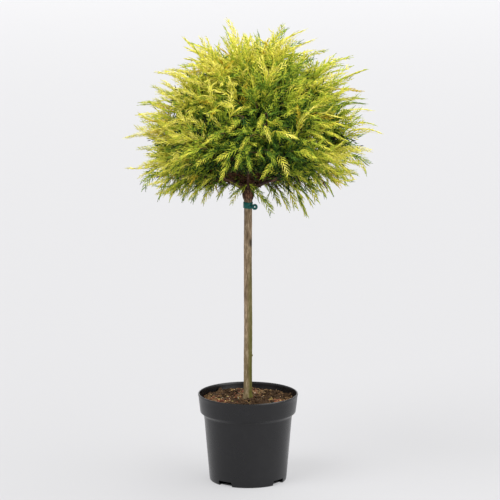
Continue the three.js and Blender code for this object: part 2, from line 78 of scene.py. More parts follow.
PAD = dict(margin=0.9, widest=38, steepest=112)
SEED = 71
GOLDEN = 180 * (3 - math.sqrt(5))
FORK = np.array([0.0, 0.0, STEM["fork"]])
UP = np.array([0.0, 0.0, 1.0])

# ---- how the growth is carried on

CAMERA = dict(place=np.array([4.53, -7000.0, 1868.6]), pitch=0.187786, focal=3121.3)  # mm, radians, pixels
VIEW_MIDDLE = 250  # pixels, across and down
LIFT = 40  # how much steeper, in degrees, the lowest boughs leave the graft
RAISED = 40  # and how much higher they end
HANGERS = [  # the tips of the loose fronds that hang lowest: across and up, in mm
    (54, 620), (92, 630), (134, 616), (160, 648), (194, 664), (268, 716), (72, 644), (112, 634), (34, 652),
    (146, 640), (178, 660), (226, 690), (-38, 645), (-104, 645), (-150, 652), (-206, 655), (-236, 678),
    (-70, 655), (-90, 664), (-128, 650), (-176, 664),
]  # fmt: skip
OPENINGS = [  # where the sky shows through from the front: pixels across and down in the view, and radius
    (171, 113, 4), (331, 164, 3), (351, 166, 3), (319, 171, 2.5), (346, 133, 2), (302, 184, 2.5),
    (313, 180, 2.5), (291, 176, 2), (326, 182, 2.5), (341, 149, 1.5), (350, 121, 1.5), (160, 140, 1.5),
    (155, 124, 1.5), (183, 176, 2),
]  # fmt: skip
FRONDS = [  # bright fronds that stand out of the shaded side: tip, lean from straight down, length, shade
    (88, -255, 754, 20, 64, 3.7), (31, -265, 749, -31, 50, 2.9), (5, -270, 765, 6, 48, 2.3),
    (-59, -260, 744, -18, 62, 3.1), (-68, -265, 787, -57, 64, 3.1), (48, -267, 831, 13, 48, 3.6),
    (107, -250, 835, 70, 58, 3.8), (-98, -255, 821, -53, 54, 3.4), (149, -232, 788, 72, 60, 3.3),
    (-114, -249, 773, -50, 58, 3.0), (-17, -272, 812, -30, 46, 3.0), (-26, -269, 770, -12, 48, 2.6),
    (61, -265, 778, 24, 46, 2.4), (183, -210, 802, 66, 56, 3.2), (-149, -233, 788, -62, 58, 3.2),
    (22, -265, 859, -20, 44, 3.0), (-43, -264, 851, -40, 46, 3.2), (-160, -150, 721, -58, 64, 3.2),
    (219, -110, 707, 62, 64, 3.0), (166, -80, 686, 46, 60, 2.8), (-191, -70, 680, -58, 64, 3.2),
    (-131, -70, 669, -36, 58, 2.8), (124, -70, 671, 36, 56, 2.8), (200, -150, 741, 66, 62, 3.3),
    (-196, -130, 738, -70, 62, 3.3), (131, -150, 721, 50, 58, 3.0), (-102, -150, 712, -44, 58, 3.1),
    (23, -24, 665, 10, 40, 1.6), (-16, -22, 672, -22, 38, 1.2), (9, -30, 678, 4, 34, 0.8),
    (-34, -60, 688, -30, 44, 1.8), (45, -60, 688, 26, 44, 2.0),
    (199, -160, 827, 74, 60, 3.4), (183, -170, 845, 66, 56, 3.0), (214, -150, 848, 78, 60, 3.3),
    (189, -165, 806, 62, 54, 2.8), (221, -140, 812, 70, 62, 3.2), (168, -180, 822, 58, 54, 2.9),
    (232, -120, 838, 80, 58, 3.2), (205, -150, 866, 80, 60, 3.5),
]  # fmt: skip
FINE_TWIGS = 16  # more twigs in each mass, and the change for those that rise and those that hang
STEEP_TWIGS, LOW_TWIGS = 5, -8
RISERS = 16  # thin limbs round the graft, between the boughs
NEEDLE = dict(length=(3.8, 5.0), half=0.68, raised=0.5, lean=(7, 15))  # in mm, and degrees off the shoot
LOW_TIP = 725  # twigs that end lower than this are clothed nearly to their roots
UNDERSIDE = dict(  # how low foliage hangs at these distances from the stem: on the sides, and in front
    sides=([0, 30, 60, 90, 130, 200, 255, 300], [680, 682, 674, 668, 660, 662, 690, 722]),
    front=([0, 60, 130, 200, 260], [680, 706, 738, 760, 775]),
)
SIDE_STEP = 12  # distance between the sprays along a twig
INNER_STEP = 7  # and between the short sprays of the shaded inside
NEEDLE_SHADES = 6
NOD = (  # a shoot's tilt, and the one its tip ends up at: shoots rise, arch outwards and nod at their ends
    [0, 10, 22, 33, 42, 55, 65, 77, 96, 112],
    [4, 34, 60, 68, 76, 84, 97, 104, 126, 146],
)
MOST_FACES = 190000  # in one piece of foliage
SCAR_HEIGHT = 0.556  # metres
FLOOR_RADIUS = 70000

# ---- small tools


class Dice:
    """The source's seeded dice."""

    def __init__(self, seed):
        self.state = (seed * 7919 + 12345) % 4294967296
        for _ in range(4):
            self.next()

    def next(self):
        self.state = (self.state * 1664525 + 1013904223) % 4294967296
        return self.state / 4294967296

    def between(self, low, high):
        return low + (high - low) * self.next()


def lerp(a, b, t):
    return a + (b - a) * t


def smoothstep(x, a, b):
    """0 at a and beyond, 1 at b and beyond, and a soft rise between."""
    t = np.clip((x - a) / (b - a), 0, 1)
    return t * t * (3 - 2 * t)


def unit(v):
    return v / np.linalg.norm(v)


def direction(tilt, turn):
    """The direction tilted from straight up and turned round, in degrees."""
    a, b = math.radians(tilt), math.radians(turn)
    return np.array([math.sin(a) * math.cos(b), math.sin(a) * math.sin(b), math.cos(a)])


def cross_axes(d):
    """Two directions square to d and to each other."""
    helper = UP if abs(d[2]) < 0.9 else np.array([1.0, 0.0, 0.0])
    side = unit(np.cross(helper, d))
    return side, np.cross(d, side)


def leant(d, angle, turn):
    """d leant over by an angle, towards a turn round it."""
    side, over = cross_axes(d)
    a, b = math.radians(angle), math.radians(turn)
    return d * math.cos(a) + (side * math.cos(b) + over * math.sin(b)) * math.sin(a)


def tilt_of(d):
    return math.degrees(math.acos(max(-1.0, min(1.0, d[2]))))


def reach_at(d):
    """How far the crown reaches from the graft in a direction."""
    flat, tall = CROWN["radius"] ** 2, CROWN["half"] ** 2
    a = (d[0] ** 2 + d[1] ** 2) / flat + d[2] ** 2 / tall
    b = -2 * d[2] * CROWN["up"] / tall
    c = CROWN["up"] ** 2 / tall - 1
    full = (-b + math.sqrt(b * b - 4 * a * c)) / (2 * a)
    tuck = CROWN["tuck"] * smoothstep(tilt_of(d), CROWN["under_from"], CROWN["under_to"])
    return full * (1 - tuck) * (1 + CROWN["right"] * d[0])


class Curve:
    """A quadratic curve through space, read by its length."""

    def __init__(self, a, b, c, n=28):
        t = np.linspace(0, 1, n)[:, None]
        self.points = (1 - t) ** 2 * a + 2 * t * (1 - t) * b + t * t * c
        steps = np.linalg.norm(np.diff(self.points, axis=0), axis=1)
        self.length = steps.sum()
        self.share = np.concatenate([[0], np.cumsum(steps)]) / self.length

    def at(self, share):
        return np.array([np.interp(share, self.share, self.points[:, i]) for i in range(3)])

    def tangent(self, share):
        return unit(self.at(min(1, share + 0.02)) - self.at(max(0, share - 0.02)))


# ---- the masses, their aims and their wood

MASSES = []
axis_dice = Dice(SEED)
for ring in RINGS:
    for i in range(ring["count"]):
        tilt = ring["tilt"] + axis_dice.between(-AXIS_WANDER, AXIS_WANDER)
        turn = ring["turn"] + 360 / ring["count"] * i + axis_dice.between(-AXIS_WANDER, AXIS_WANDER)
        name = f"{ring['name']}_{i + 1}" if ring["count"] > 1 else ring["name"]
        MASSES.append(dict(ring=ring, name=name, seed=SEED + 10 + len(MASSES), tilt=tilt, turn=turn))
for mass in MASSES:
    mass["axis"] = direction(mass["tilt"], mass["turn"])
for mass in MASSES:
    mass["walls"] = np.array([unit(mass["axis"] - other["axis"]) for other in MASSES if other is not mass])


def room_at(p, mass):
    """How far a point is inside the space of a mass: 0 at its walls, and less outside."""
    return float((mass["walls"] @ (p - FORK)).min())


def pad_lean(mass, turn):
    """How many degrees a mass spreads from its axis on one side."""
    lean = PAD["widest"]
    while lean > PAD["margin"]:
        d = leant(mass["axis"], lean, turn)
        if room_at(FORK + d, mass) > 0 and d[2] > math.cos(math.radians(PAD["steepest"])):
            break
        lean -= 0.5
    return lean - PAD["margin"]


def bough_curve(mass):
    """A bough's arch. The lowest ones leave more steeply and end higher than in the source."""
    length = mass["ring"]["length"]
    arch = BOUGH_ARCH * math.sin(math.radians(mass["tilt"]))
    low = smoothstep(mass["tilt"], 80, 95)
    steep = direction(mass["tilt"] - arch - LIFT * low, mass["turn"])
    end = direction(mass["tilt"] - RAISED * low, mass["turn"])
    return Curve(FORK, FORK + steep * length * 0.55, FORK + end * length)


def aims(mass):
    """The source's aims of a mass's stem and main twigs, and after them those of its finer twigs."""
    dice = Dice(mass["seed"])
    found = []
    for i in range(TWIG["count"] + 1):
        lean = TWIG["spread"] * math.sqrt(i / TWIG["count"])
        turn = GOLDEN * i + dice.between(-12, 12)
        aim = leant(mass["axis"], lean, turn)
        k = 1
        while room_at(FORK + aim * 250, mass) < 12:
            aim = leant(mass["axis"], lean * 0.88**k, turn)
            k += 1
        found.append([aim, reach_at(aim) * dice.between(TWIG["low"], TWIG["high"]), True])
    for tilt, turn, reach in LEADERS:
        aim = direction(tilt, turn)
        if room_at(FORK + aim, mass) > 0:
            nearest = max(found, key=lambda f: float(f[0] @ aim))
            nearest[0], nearest[1] = aim, reach
    fine = Dice(mass["seed"] + 900)
    count = FINE_TWIGS + (STEEP_TWIGS if mass["tilt"] < 50 else LOW_TWIGS if mass["tilt"] > 80 else 0)
    for i in range(count):
        turn = GOLDEN * (i + 0.5) + fine.between(-14, 14)
        lean = (pad_lean(mass, turn) + 4) * math.sqrt((i + 0.6) / count)
        aim = leant(mass["axis"], lean, turn)
        high = smoothstep(tilt_of(aim), 45, 15)
        share = fine.between(lerp(0.86, 0.93, high), lerp(0.985, 1.02, high))
        found.append([aim, reach_at(aim) * share, False])
    return found


def turned_out(d, share):
    """d leant over from its own tilt towards the nodding one."""
    tilt = tilt_of(d)
    turn = math.degrees(math.atan2(d[1], d[0]))
    return direction(lerp(tilt, np.interp(tilt, *NOD), share), turn)


def wood_of(mass):
    """The stem and twigs of a mass: curve, tip, the last spray's length, and radius at the root and end."""
    bough = bough_curve(mass)
    start, tangent = bough.at(1), bough.tangent(1)
    grown = []
    dice = Dice(mass["seed"] + 700)
    for i, (aim, reach, main) in enumerate(aims(mass)):
        tip = FORK + aim * reach
        tip[2] = max(tip[2], underside(tip) + dice.between(2, 18))
        length = reach * (1 - WOOD_END) * (1.04 if main else dice.between(0.82, 1.0))
        end = tip - length * (turned_out(aim, 0.2) + turned_out(aim, 1)) / 2
        if i == 0:
            root, ahead, thick, thin = start, tangent, mass["ring"]["radius"] * BOUGH_TIP, 1.2
        else:
            if main:
                fork = lerp(TWIG["first"], TWIG["last"], 1 - (i - 1) / (TWIG["count"] - 1))
            else:
                fork = dice.between(0.0, 0.72)
            stem = grown[0][0]
            root, ahead = stem.at(fork), stem.tangent(fork)
            thick, thin = TWIG["radius"] if main else FINE_RADIUS, 0.75
        bend = root + ahead * np.linalg.norm(end - root) * TWIG["bow"]
        grown.append((Curve(root, bend, end), tip, length, thick, thin))
    return grown


# ---- meshes


def add_object(name, data):
    ob = bpy.data.objects.new(name, data)
    bpy.context.scene.collection.objects.link(ob)
    return ob


def mesh_object(name, points, faces, material, smooth=True):
    """A mesh from arrays of points, in mm, and triangles."""
    me = bpy.data.meshes.new(name)
    me.vertices.add(len(points))
    me.vertices.foreach_set("co", (np.asarray(points, dtype=np.float32) * MM).ravel())
    me.loops.add(len(faces) * 3)
    me.loops.foreach_set("vertex_index", np.asarray(faces, dtype=np.int32).ravel())
    me.polygons.add(len(faces))
    me.polygons.foreach_set("loop_start", np.arange(0, len(faces) * 3, 3, dtype=np.int32))
    me.polygons.foreach_set("use_smooth", np.full(len(faces), smooth))
    me.update(calc_edges=True)
    me.validate()
    me.materials.append(material)
    return add_object(name, me)


def quads_object(name, points, faces, material, smooth=True):
    """A mesh from points, in mm, and faces with any number of corners."""
    me = bpy.data.meshes.new(name)
    points = [tuple(p * MM) for p in np.asarray(points, dtype=float)]
    me.from_pydata(points, [], [list(map(int, f)) for f in faces])
    me.validate()
    me.materials.append(material)
    me.polygons.foreach_set("use_smooth", np.full(len(me.polygons), smooth))
    me.update()
    return add_object(name, me)


def settle(ob, slot, *nodes):
    """Puts a piece on the body and hides the solids that it replaces. Its slot is not used."""
    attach(ob, "root")
    if nodes:
        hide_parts(*nodes)
    return ob


def circle(radius, z, angles):
    """A level ring of points. radius is one number or one for each angle."""
    return np.stack([radius * np.cos(angles), radius * np.sin(angles), np.full(len(angles), z)], 1)


def round_angles(sides):
    """Evenly spaced angles, one for each side of a ring."""
    return np.arange(sides) * 2 * math.pi / sides


def quads(sides, rings, wrap=False):
    """The four-sided faces between rings of points, and from the last ring to the first if they wrap."""
    faces = []
    for i in range(rings if wrap else rings - 1):
        j = (i + 1) % rings
        for k in range(sides):
            b = (k + 1) % sides
            faces.append((i * sides + k, i * sides + b, j * sides + b, j * sides + k))
    return faces


def ring_faces(sides, rings):
    """The triangles over rings of points, closed by two apexes that come after them."""
    k = np.arange(sides)
    a = (np.arange(rings - 1)[:, None] * sides + k).ravel()
    b = (np.arange(rings - 1)[:, None] * sides + (k + 1) % sides).ravel()
    faces = [np.stack([a, b, b + sides], 1), np.stack([a, b + sides, a + sides], 1)]
    first, last = sides * rings, sides * (rings - 1)
    faces.append(np.stack([np.full(sides, first), (k + 1) % sides, k], 1))
    faces.append(np.stack([np.full(sides, first + 1), last + k, last + (k + 1) % sides], 1))
    return np.concatenate(faces)


def tube(points, radii, sides, relief=None):
    """A closed limb along points. relief(angle, share) is added to the radius."""
    n = len(points)
    tangents = np.gradient(points, axis=0)
    tangents /= np.linalg.norm(tangents, axis=1)[:, None]
    side, _ = cross_axes(tangents[0])
    rows = []
    angles = round_angles(sides)
    for i in range(n):
        side = unit(side - tangents[i] * (side @ tangents[i]))
        over = np.cross(tangents[i], side)
        r = np.full(sides, radii[i], dtype=float)
        if relief is not None:
            r = r + relief(angles, i / (n - 1))
        rows.append(points[i] + np.outer(r * np.cos(angles), side) + np.outer(r * np.sin(angles), over))
    ends = [points[0] - tangents[0] * radii[0] * 0.3, points[-1] + tangents[-1] * radii[-1] * 0.8]
    return np.concatenate([*rows, np.array(ends)]), ring_faces(sides, n)


class Pile:
    """Points and triangles gathered from many parts."""

    def __init__(self):
        self.points, self.faces, self.count = [], [], 0

    def add(self, points, faces):
        self.points.append(np.asarray(points, dtype=float))
        self.faces.append(np.asarray(faces) + self.count)
        self.count += len(points)

    def arrays(self):
        return np.concatenate(self.points), np.concatenate(self.faces)


# ---- sprays


class Spray:
    """A spray of juniper along +X, of length 1, in two parts: the older base and the young tips."""

    def __init__(self, seed, length, sides, widest, spread, subs, needles):
        self.rng = np.random.default_rng(seed)
        self.mm = 1 / length
        self.parts = [Pile(), Pile()]
        axis = np.array([1.0, 0.0, 0.0])
        self.shoot(np.zeros(3), axis, 1.0, 1.05, needles * 2 + 2, 0.5, axis)
        for k in range(sides):
            x = 0.06 + 0.86 * (k + self.rng.uniform(-0.25, 0.25)) / (sides - 1)
            size = (widest * (1 - x) ** 0.6 + 6.5) * self.mm * self.rng.uniform(0.8, 1.15)
            angle = math.radians(lerp(spread, spread * 0.62, x) + self.rng.uniform(-5, 5))
            hand = 1 if k % 2 else -1
            roll = math.radians(self.rng.uniform(-23, 23))
            aside = np.array([0, hand * math.cos(roll), math.sin(roll)])
            d = axis * math.cos(angle) + aside * math.sin(angle)
            start = np.array([x, 0.0, 0.0])
            split = 1.0 if x > 0.84 or self.rng.uniform() < 0.3 else 0.45 if x < 0.5 else 0.0
            self.shoot(start, d, size, 1.12, needles, split, axis)
            for j in range(subs if size > 13 * self.mm else 0):
                t = 0.3 + 0.24 * j
                lateral = unit(np.cross(UP, d)) * (hand if j % 2 == 0 else -hand)
                lateral = unit(lateral + UP * self.rng.uniform(-0.5, 0.5))
                e = unit(d * 0.85 + lateral * 0.5)
                twiglet = size * self.rng.uniform(0.38, 0.5)
                split = 0.6 if x < 0.4 else 0.0
                self.shoot(start + d * size * t * 0.95, e, twiglet, 0.8, 1, split, axis, plump=False)

    def shoot(self, start, d, length, radius, needles, split, axis, plump=True):
        """A tapering three-sided shoot that curls towards axis, with needles along it, young past split."""
        side, over = cross_axes(d)
        spin = self.rng.uniform(0, 2)
        angles = spin + np.arange(3) * 2 * math.pi / 3
        ring = (np.outer(np.cos(angles), side) + np.outer(np.sin(angles), over)) * radius * self.mm
        sway = [self.rng.uniform(-0.12, 0.12) for _ in range(2)]
        ahead = unit(d + axis * 0.7 + side * sway[0] + over * sway[1])
        low = start + ring
        middle = start + d * length * 0.5
        high = middle + ring * 0.85
        tip = (middle + ahead * length * 0.5)[None]
        k = np.arange(3)
        nxt = (k + 1) % 3
        frustum = np.concatenate([np.stack([k, nxt, nxt + 3], 1), np.stack([k, nxt + 3, k + 3], 1)])
        cone = np.stack([k, nxt, np.full(3, 3)], 1)
        old, young = self.parts if split else (self.parts[1], self.parts[1])
        if split >= 1:
            young = old
        if plump:
            old.add(np.concatenate([low, high]), frustum)
            young.add(np.concatenate([high, tip]), cone)
        else:
            old.add(np.concatenate([low, tip]), cone)
        for j in range(needles):
            t = (j + 0.35) / needles
            turn = spin + j * 2.4
            out = side * math.cos(turn) + over * math.sin(turn)
            base = start + d * length * min(t, 0.5) + ahead * length * max(0, t - 0.5)
            lean = math.radians(self.rng.uniform(*NEEDLE["lean"]))
            way = d if t < 0.5 else ahead
            n = way * math.cos(lean) + out * math.sin(lean)
            across = unit(np.cross(n, out)) * NEEDLE["half"] * self.mm
            size = self.rng.uniform(*NEEDLE["length"]) * self.mm
            waist = base + n * size * 0.45 + out * NEEDLE["raised"] * self.mm
            kite = np.array([base, waist + across, base + n * size, waist - across])
            (young if t >= split else old).add(kite, np.array([[0, 1, 2], [0, 2, 3]]))


def place(template, roots, starts, ends, frames, sizes):
    """Copies of one template part, each bent so that it leaves along its start and finishes along its end."""
    points, faces = template
    x = np.clip(points[:, 0], 0, None)[None, :, None]
    sway = (ends - starts)[:, None, :] / 2
    spine = points[None, :, :1] * starts[:, None, :] + x * x * sway
    ahead = starts[:, None, :] + 2 * x * sway
    ahead /= np.linalg.norm(ahead, axis=2)[:, :, None]
    aside = np.einsum("mik,vk->mvi", frames[:, :, 1:], points[:, 1:])
    both = starts[:, None, :] + ahead
    tipped = (aside * ahead).sum(2) / np.clip((both * starts[:, None, :]).sum(2), 0.2, None)
    aside -= both * tipped[:, :, None]
    world = roots[:, None, :] + (spine + aside) * sizes[:, None, None]
    offsets = np.arange(len(roots)) * len(points)
    return world.reshape(-1, 3), (faces[None] + offsets[:, None, None]).reshape(-1, 3)


# ---- materials


def srgb(r, g, b):
    linear = [((c / 255 + 0.055) / 1.055) ** 2.4 if c > 10 else c / 255 / 12.92 for c in (r, g, b)]
    return (*linear, 1.0)


def scaled(colour, by, plus=0.0):
    return tuple(min(1, c * by + plus) for c in colour[:3]) + (1,)


class Surface:
    """A principled material, and short ways to wire nodes to it."""

    def __init__(self, name, colour, roughness, specular=0.5):
        self.mat = bpy.data.materials.new(name)
        self.mat.use_nodes = True
        self.mat.diffuse_color = colour
        self.nodes = self.mat.node_tree.nodes
        self.inputs = self.nodes["Principled BSDF"].inputs
        self.feed(self.inputs, {"Base Color": colour, "Roughness": roughness, "Specular IOR Level": specular})

    def feed(self, inputs, values):
        """Sets sockets to values, or links other nodes' outputs to them."""
        for key, value in values.items():
            if isinstance(value, bpy.types.NodeSocket):
                self.mat.node_tree.links.new(value, inputs[key])
            else:
                inputs[key].default_value = value

    def node(self, kind, values, output=0, **settings):
        """Makes a node with its settings, feeds its inputs and returns one of its outputs."""
        made = self.nodes.new(kind)
        for key, value in settings.items():
            setattr(made, key, value)
        self.feed(made.inputs, values)
        return made.outputs[output]

    def coords(self, scale=(1, 1, 1)):
        point = self.node("ShaderNodeTexCoord", {}, "Object")
        return self.node("ShaderNodeMapping", {"Vector": point, "Scale": scale})

    def noise(self, vector, scale, detail=4, roughness=0.55):
        values = {"Vector": vector, "Scale": scale, "Detail": detail, "Roughness": roughness}
        return self.node("ShaderNodeTexNoise", values, "Fac")

    def ramp(self, factor, stops):
        made = self.nodes.new("ShaderNodeValToRGB")
        elements = made.color_ramp.elements
        while len(elements) < len(stops):
            elements.new(0.5)
        for element, (position, colour) in zip(elements, stops):
            element.position = position
            element.color = colour
        self.feed(made.inputs, {"Fac": factor})
        return made.outputs["Color"]

    def mix(self, factor, a, b):
        return self.node("ShaderNodeMix", {"Factor": factor, 6: a, 7: b}, 2, data_type="RGBA")

    def map_range(self, value, from_min, from_max, to_min=0.0, to_max=1.0):
        span = {"From Min": from_min, "From Max": from_max, "To Min": to_min, "To Max": to_max}
        return self.node("ShaderNodeMapRange", {"Value": value, **span})

    def maths(self, operation, a, b):
        return self.node("ShaderNodeMath", {0: a, 1: b}, operation=operation)

    def bump(self, height, strength, distance):
        values = {"Height": height, "Strength": strength, "Distance": distance}
        self.feed(self.inputs, {"Normal": self.node("ShaderNodeBump", values)})


def needle_material(name, colour, roughness=0.5):
    """Needles of one shade, a little uneven in value from shoot to shoot."""
    surface = Surface(name, colour, roughness, 0.12)
    stops = [(0.36, scaled(colour, 0.72)), (0.64, scaled(colour, 1.26))]
    surface.feed(surface.inputs, {"Base Color": surface.ramp(surface.noise(surface.coords(), 140, 2), stops)})
    return surface.mat


def bark_material(name, tones, scale, algae=None, head=None, depth=0.0006):
    """Thin bark that splits lengthwise. The stem also has algae, and the darker bark of the graft, head."""
    surface = Surface(name, tones[1], 0.82, 0.25)
    grain = surface.noise(surface.coords((1, 1, 0.2)), scale, 6, 0.68)
    patches = surface.noise(surface.coords((1, 1, 0.5)), scale * 0.14, 3)
    colour = surface.ramp(grain, [(0.3, tones[0]), (0.5, tones[1]), (0.7, tones[2])])
    colour = surface.mix(surface.map_range(patches, 0.45, 0.7, 0, 0.55), colour, tones[0])
    if algae:
        colour = stem_marks(surface, colour, grain, patches, algae, head)
    surface.feed(surface.inputs, {"Base Color": colour})
    surface.bump(grain, 0.8, depth)
    return surface.mat


def stem_marks(surface, colour, grain, patches, algae, head):
    """Algae on the right and round the foot, a dark scar under the crown and the graft's old bark."""
    point = surface.node("ShaderNodeTexCoord", {}, "Object")
    across = surface.node("ShaderNodeSeparateXYZ", {"Vector": point}, "X")
    up = surface.node("ShaderNodeSeparateXYZ", {"Vector": point}, "Z")
    right = surface.map_range(across, -0.004, 0.005)
    low = surface.map_range(up, 0.58, 0.40, 0.1, 1.0)
    film = surface.map_range(patches, 0.25, 0.6, 0.6, 1.0)
    amount = surface.maths("MULTIPLY", surface.maths("MULTIPLY", right, low), film)
    amount = surface.maths("MAXIMUM", amount, surface.map_range(up, 0.38, 0.24, 0, 0.3))
    colour = surface.mix(amount, colour, algae)
    off = surface.maths("ABSOLUTE", surface.maths("SUBTRACT", up, SCAR_HEIGHT), 0)
    near, front = surface.map_range(off, 0.012, 0.005), surface.map_range(across, 0.000, 0.005, 0, 0.75)
    colour = surface.mix(surface.maths("MULTIPLY", near, front), colour, head[0])
    old = surface.ramp(grain, [(0.42, head[0]), (0.52, head[1]), (0.66, head[2])])
    return surface.mix(surface.map_range(up, 0.646, 0.662), colour, old)


def moulded_plastic(name, colour, roughness, specular):
    """Moulded plastic: a faint grain, and a sheen that varies a little where it was handled."""
    surface = Surface(name, colour, roughness, specular)
    coords = surface.coords()
    sheen = surface.map_range(surface.noise(coords, 14, 5, 0.6), 0.3, 0.7, roughness - 0.07, roughness + 0.09)
    dust = surface.map_range(surface.noise(coords, 60, 6, 0.7), 0.5, 0.75, 0, 0.6)
    tone = surface.mix(dust, colour, scaled(colour, 1.5, 0.004))
    surface.feed(surface.inputs, {"Roughness": sheen, "Base Color": tone})
    surface.bump(surface.noise(coords, 900, 2), 0.12, 0.0002)
    return surface.mat


def chip_material(name, dark, light, roughness=0.9):
    """Rough crumbs that vary between two tones."""
    surface = Surface(name, light, roughness, 0.1)
    fac = surface.noise(surface.coords(), 260, 5, 0.65)
    surface.feed(surface.inputs, {"Base Color": surface.ramp(fac, [(0.32, dark), (0.66, light)])})
    surface.bump(fac, 0.7, 0.0006)
    return surface.mat


# ---- the pot


def pot_profile():
    """The pot's outline as radius and height, from the middle of its underside round to its floor."""
    high, rim, body, base, w, floor = (POT[key] for key in ("height", "rim", "body", "base", "wall", "floor"))
    band = high - POT["band"]
    step = band - POT["step"]
    wide = POT["band_foot"]
    out = [(0, 0), (60, 0), (base - 3.2, 0)]
    for t in map(math.radians, (20, 45, 70, 90)):  # rounded foot
        out.append((base - 3.2 + 3.1 * math.sin(t), 3 - 3 * math.cos(t)))
    out += [(base + (body - base) / step * z, z) for z in (9.5, 30, 60, 90, 120, 140)]
    out += [  # up over the step and the band
        (body - 0.2, step - 5), (body - 0.1, step - 1.6), (body + 0.6, step),
        (wide - 1.6, band - 1.5), (wide - 0.3, band - 0.1), (wide + 0.1, band + 1.4),
        (lerp(wide, rim, 0.3), band + POT["band"] * 0.3), (lerp(wide, rim, 0.7), band + POT["band"] * 0.7),
    ]  # fmt: skip
    out += [  # over the rim's rolled edge
        (rim - 0.6, high - 5.2), (rim - 0.1, high - 4.2), (rim, high - 2.2), (rim - 0.5, high - 0.6),
        (rim - 1.6, high), (rim - 2.6, high - 0.2), (rim - POT["lip"], high - 1.4),
    ]  # fmt: skip
    out += [  # and down the inside
        (rim - 1.0 - w, high - 6), (wide - w, band + 1), (body - w, step - 1),
        (base - w, floor + 2), (base - w - 2, floor), (40, floor), (0, floor),
    ]  # fmt: skip
    return out


def lathe(profile, sides):
    """A closed turned mesh whose profile starts and ends on the axis."""
    rows = [circle(r, z, round_angles(sides)) for r, z in profile[1:-1]]
    points = np.concatenate([*rows, [[0, 0, profile[0][1]], [0, 0, profile[-1][1]]]])
    n = len(rows)
    faces = quads(sides, n)
    for k in range(sides):
        b = (k + 1) % sides
        faces.append((n * sides, b, k))
        faces.append((n * sides + 1, (n - 1) * sides + k, (n - 1) * sides + b))
    return points, faces


def apply_modifiers(ob):
    """Swaps an object's mesh for the one its modifiers make."""
    dg = bpy.context.evaluated_depsgraph_get()
    baked = bpy.data.meshes.new_from_object(ob.evaluated_get(dg))
    ob.modifiers.clear()
    ob.data = baked


def notch_tool(index):
    """A block that is narrower at its top, for one drain notch."""
    half, top = NOTCH["width"] / 2, NOTCH["height"]
    right = [(half, -6), (half - 0.4, top - 3), (half - 2, top)]
    outline = right + [(-y, z) for y, z in reversed(right)]
    a = math.radians(NOTCH["turn"] + 360 / NOTCH["count"] * index)
    out, side = np.array([math.cos(a), math.sin(a), 0]), np.array([-math.sin(a), math.cos(a), 0])
    depths = (POT["base"] - NOTCH["depth"], POT["base"] + 12)
    points = [out * r + side * y + UP * z for r in depths for y, z in outline]
    n = len(outline)
    return points, [tuple(range(n - 1, -1, -1)), tuple(range(n, 2 * n)), *quads(n, 2)]


def build_pot(material):
    ob = quads_object("pot_body", *lathe(pot_profile(), 144), material)
    tools = []
    for i in range(NOTCH["count"]):
        tool = quads_object(f"notch_tool_{i}", *notch_tool(i), material, smooth=False)
        cut = ob.modifiers.new(f"notch_{i}", "BOOLEAN")
        cut.operation, cut.solver, cut.object = "DIFFERENCE", "EXACT", tool
        tools.append(tool)
    apply_modifiers(ob)
    for tool in tools:
        bpy.data.objects.remove(tool)
    ob.data.materials.clear()
    ob.data.materials.append(material)
    ob.data.polygons.foreach_set("material_index", np.zeros(len(ob.data.polygons), dtype=np.int32))
    ob.data.polygons.foreach_set("use_smooth", np.ones(len(ob.data.polygons), dtype=bool))
    ob.data.set_sharp_from_angle(angle=math.radians(38))
    return settle(ob, "pot", "pot")


# ---- the compost


def compost_height(x, y):
    """Height of the compost's surface, in mm."""
    r = math.hypot(x, y)
    rough = noise.fractal(Vector((x * 0.045, y * 0.045, 3.1)), 1.0, 2.0, 4)
    lumps = noise.noise(Vector((x * 0.16, y * 0.16, 7.7)))
    mound = 3.0 * math.exp(-((r / 17) ** 2)) - 2.6 * (r / 108) ** 2
    return COMPOST["level"] - 1.5 + 3.0 * rough + 1.8 * lumps + mound


def build_compost(material):
    """The bed of compost: its uneven surface, and the root ball below it."""
    sides, rings = 132, 46
    rows = []
    for i in range(1, rings + 1):
        row = circle(COMPOST["edge"] * i / rings, 0.0, round_angles(sides))
        row[:, 2] = [compost_height(x, y) for x, y, _ in row]
        rows.append(row)
    rows += [circle(r, z, round_angles(sides)) for r, z in COMPOST_FOOT]
    points = np.concatenate([*rows, [[0, 0, compost_height(0, 0)], [0, 0, COMPOST_FOOT[-1][1]]]])
    faces = ring_faces(sides, len(rows))[:, ::-1]
    return settle(mesh_object("compost_bed", points, faces, material), "compost", "compost")


def chip(rng, length, width, thick):
    """One flake of bark: a box with broken corners."""
    box = np.array([(x, y, z) for x in (-1, 0, 1) for y in (-1, 1) for z in (-1, 1)], dtype=float)
    box *= np.array([length, width, thick]) / 2
    box[:, 0] += rng.uniform(-0.16, 0.16, 12) * length
    box[:, 1] += rng.uniform(-0.18, 0.18, 12) * width
    box[:, 2] += rng.uniform(-0.2, 0.2, 12) * thick
    box[4:8, 2] += rng.uniform(-0.12, 0.12) * length
    faces = []
    for i in (0, 4):
        for a, b in ((0, 1), (1, 3), (3, 2), (2, 0)):
            faces += [(i + a, i + b, i + 4 + b), (i + a, i + 4 + b, i + 4 + a)]
    faces += [(0, 3, 1), (0, 2, 3), (8, 9, 11), (8, 11, 10)]
    return box, np.array(faces)


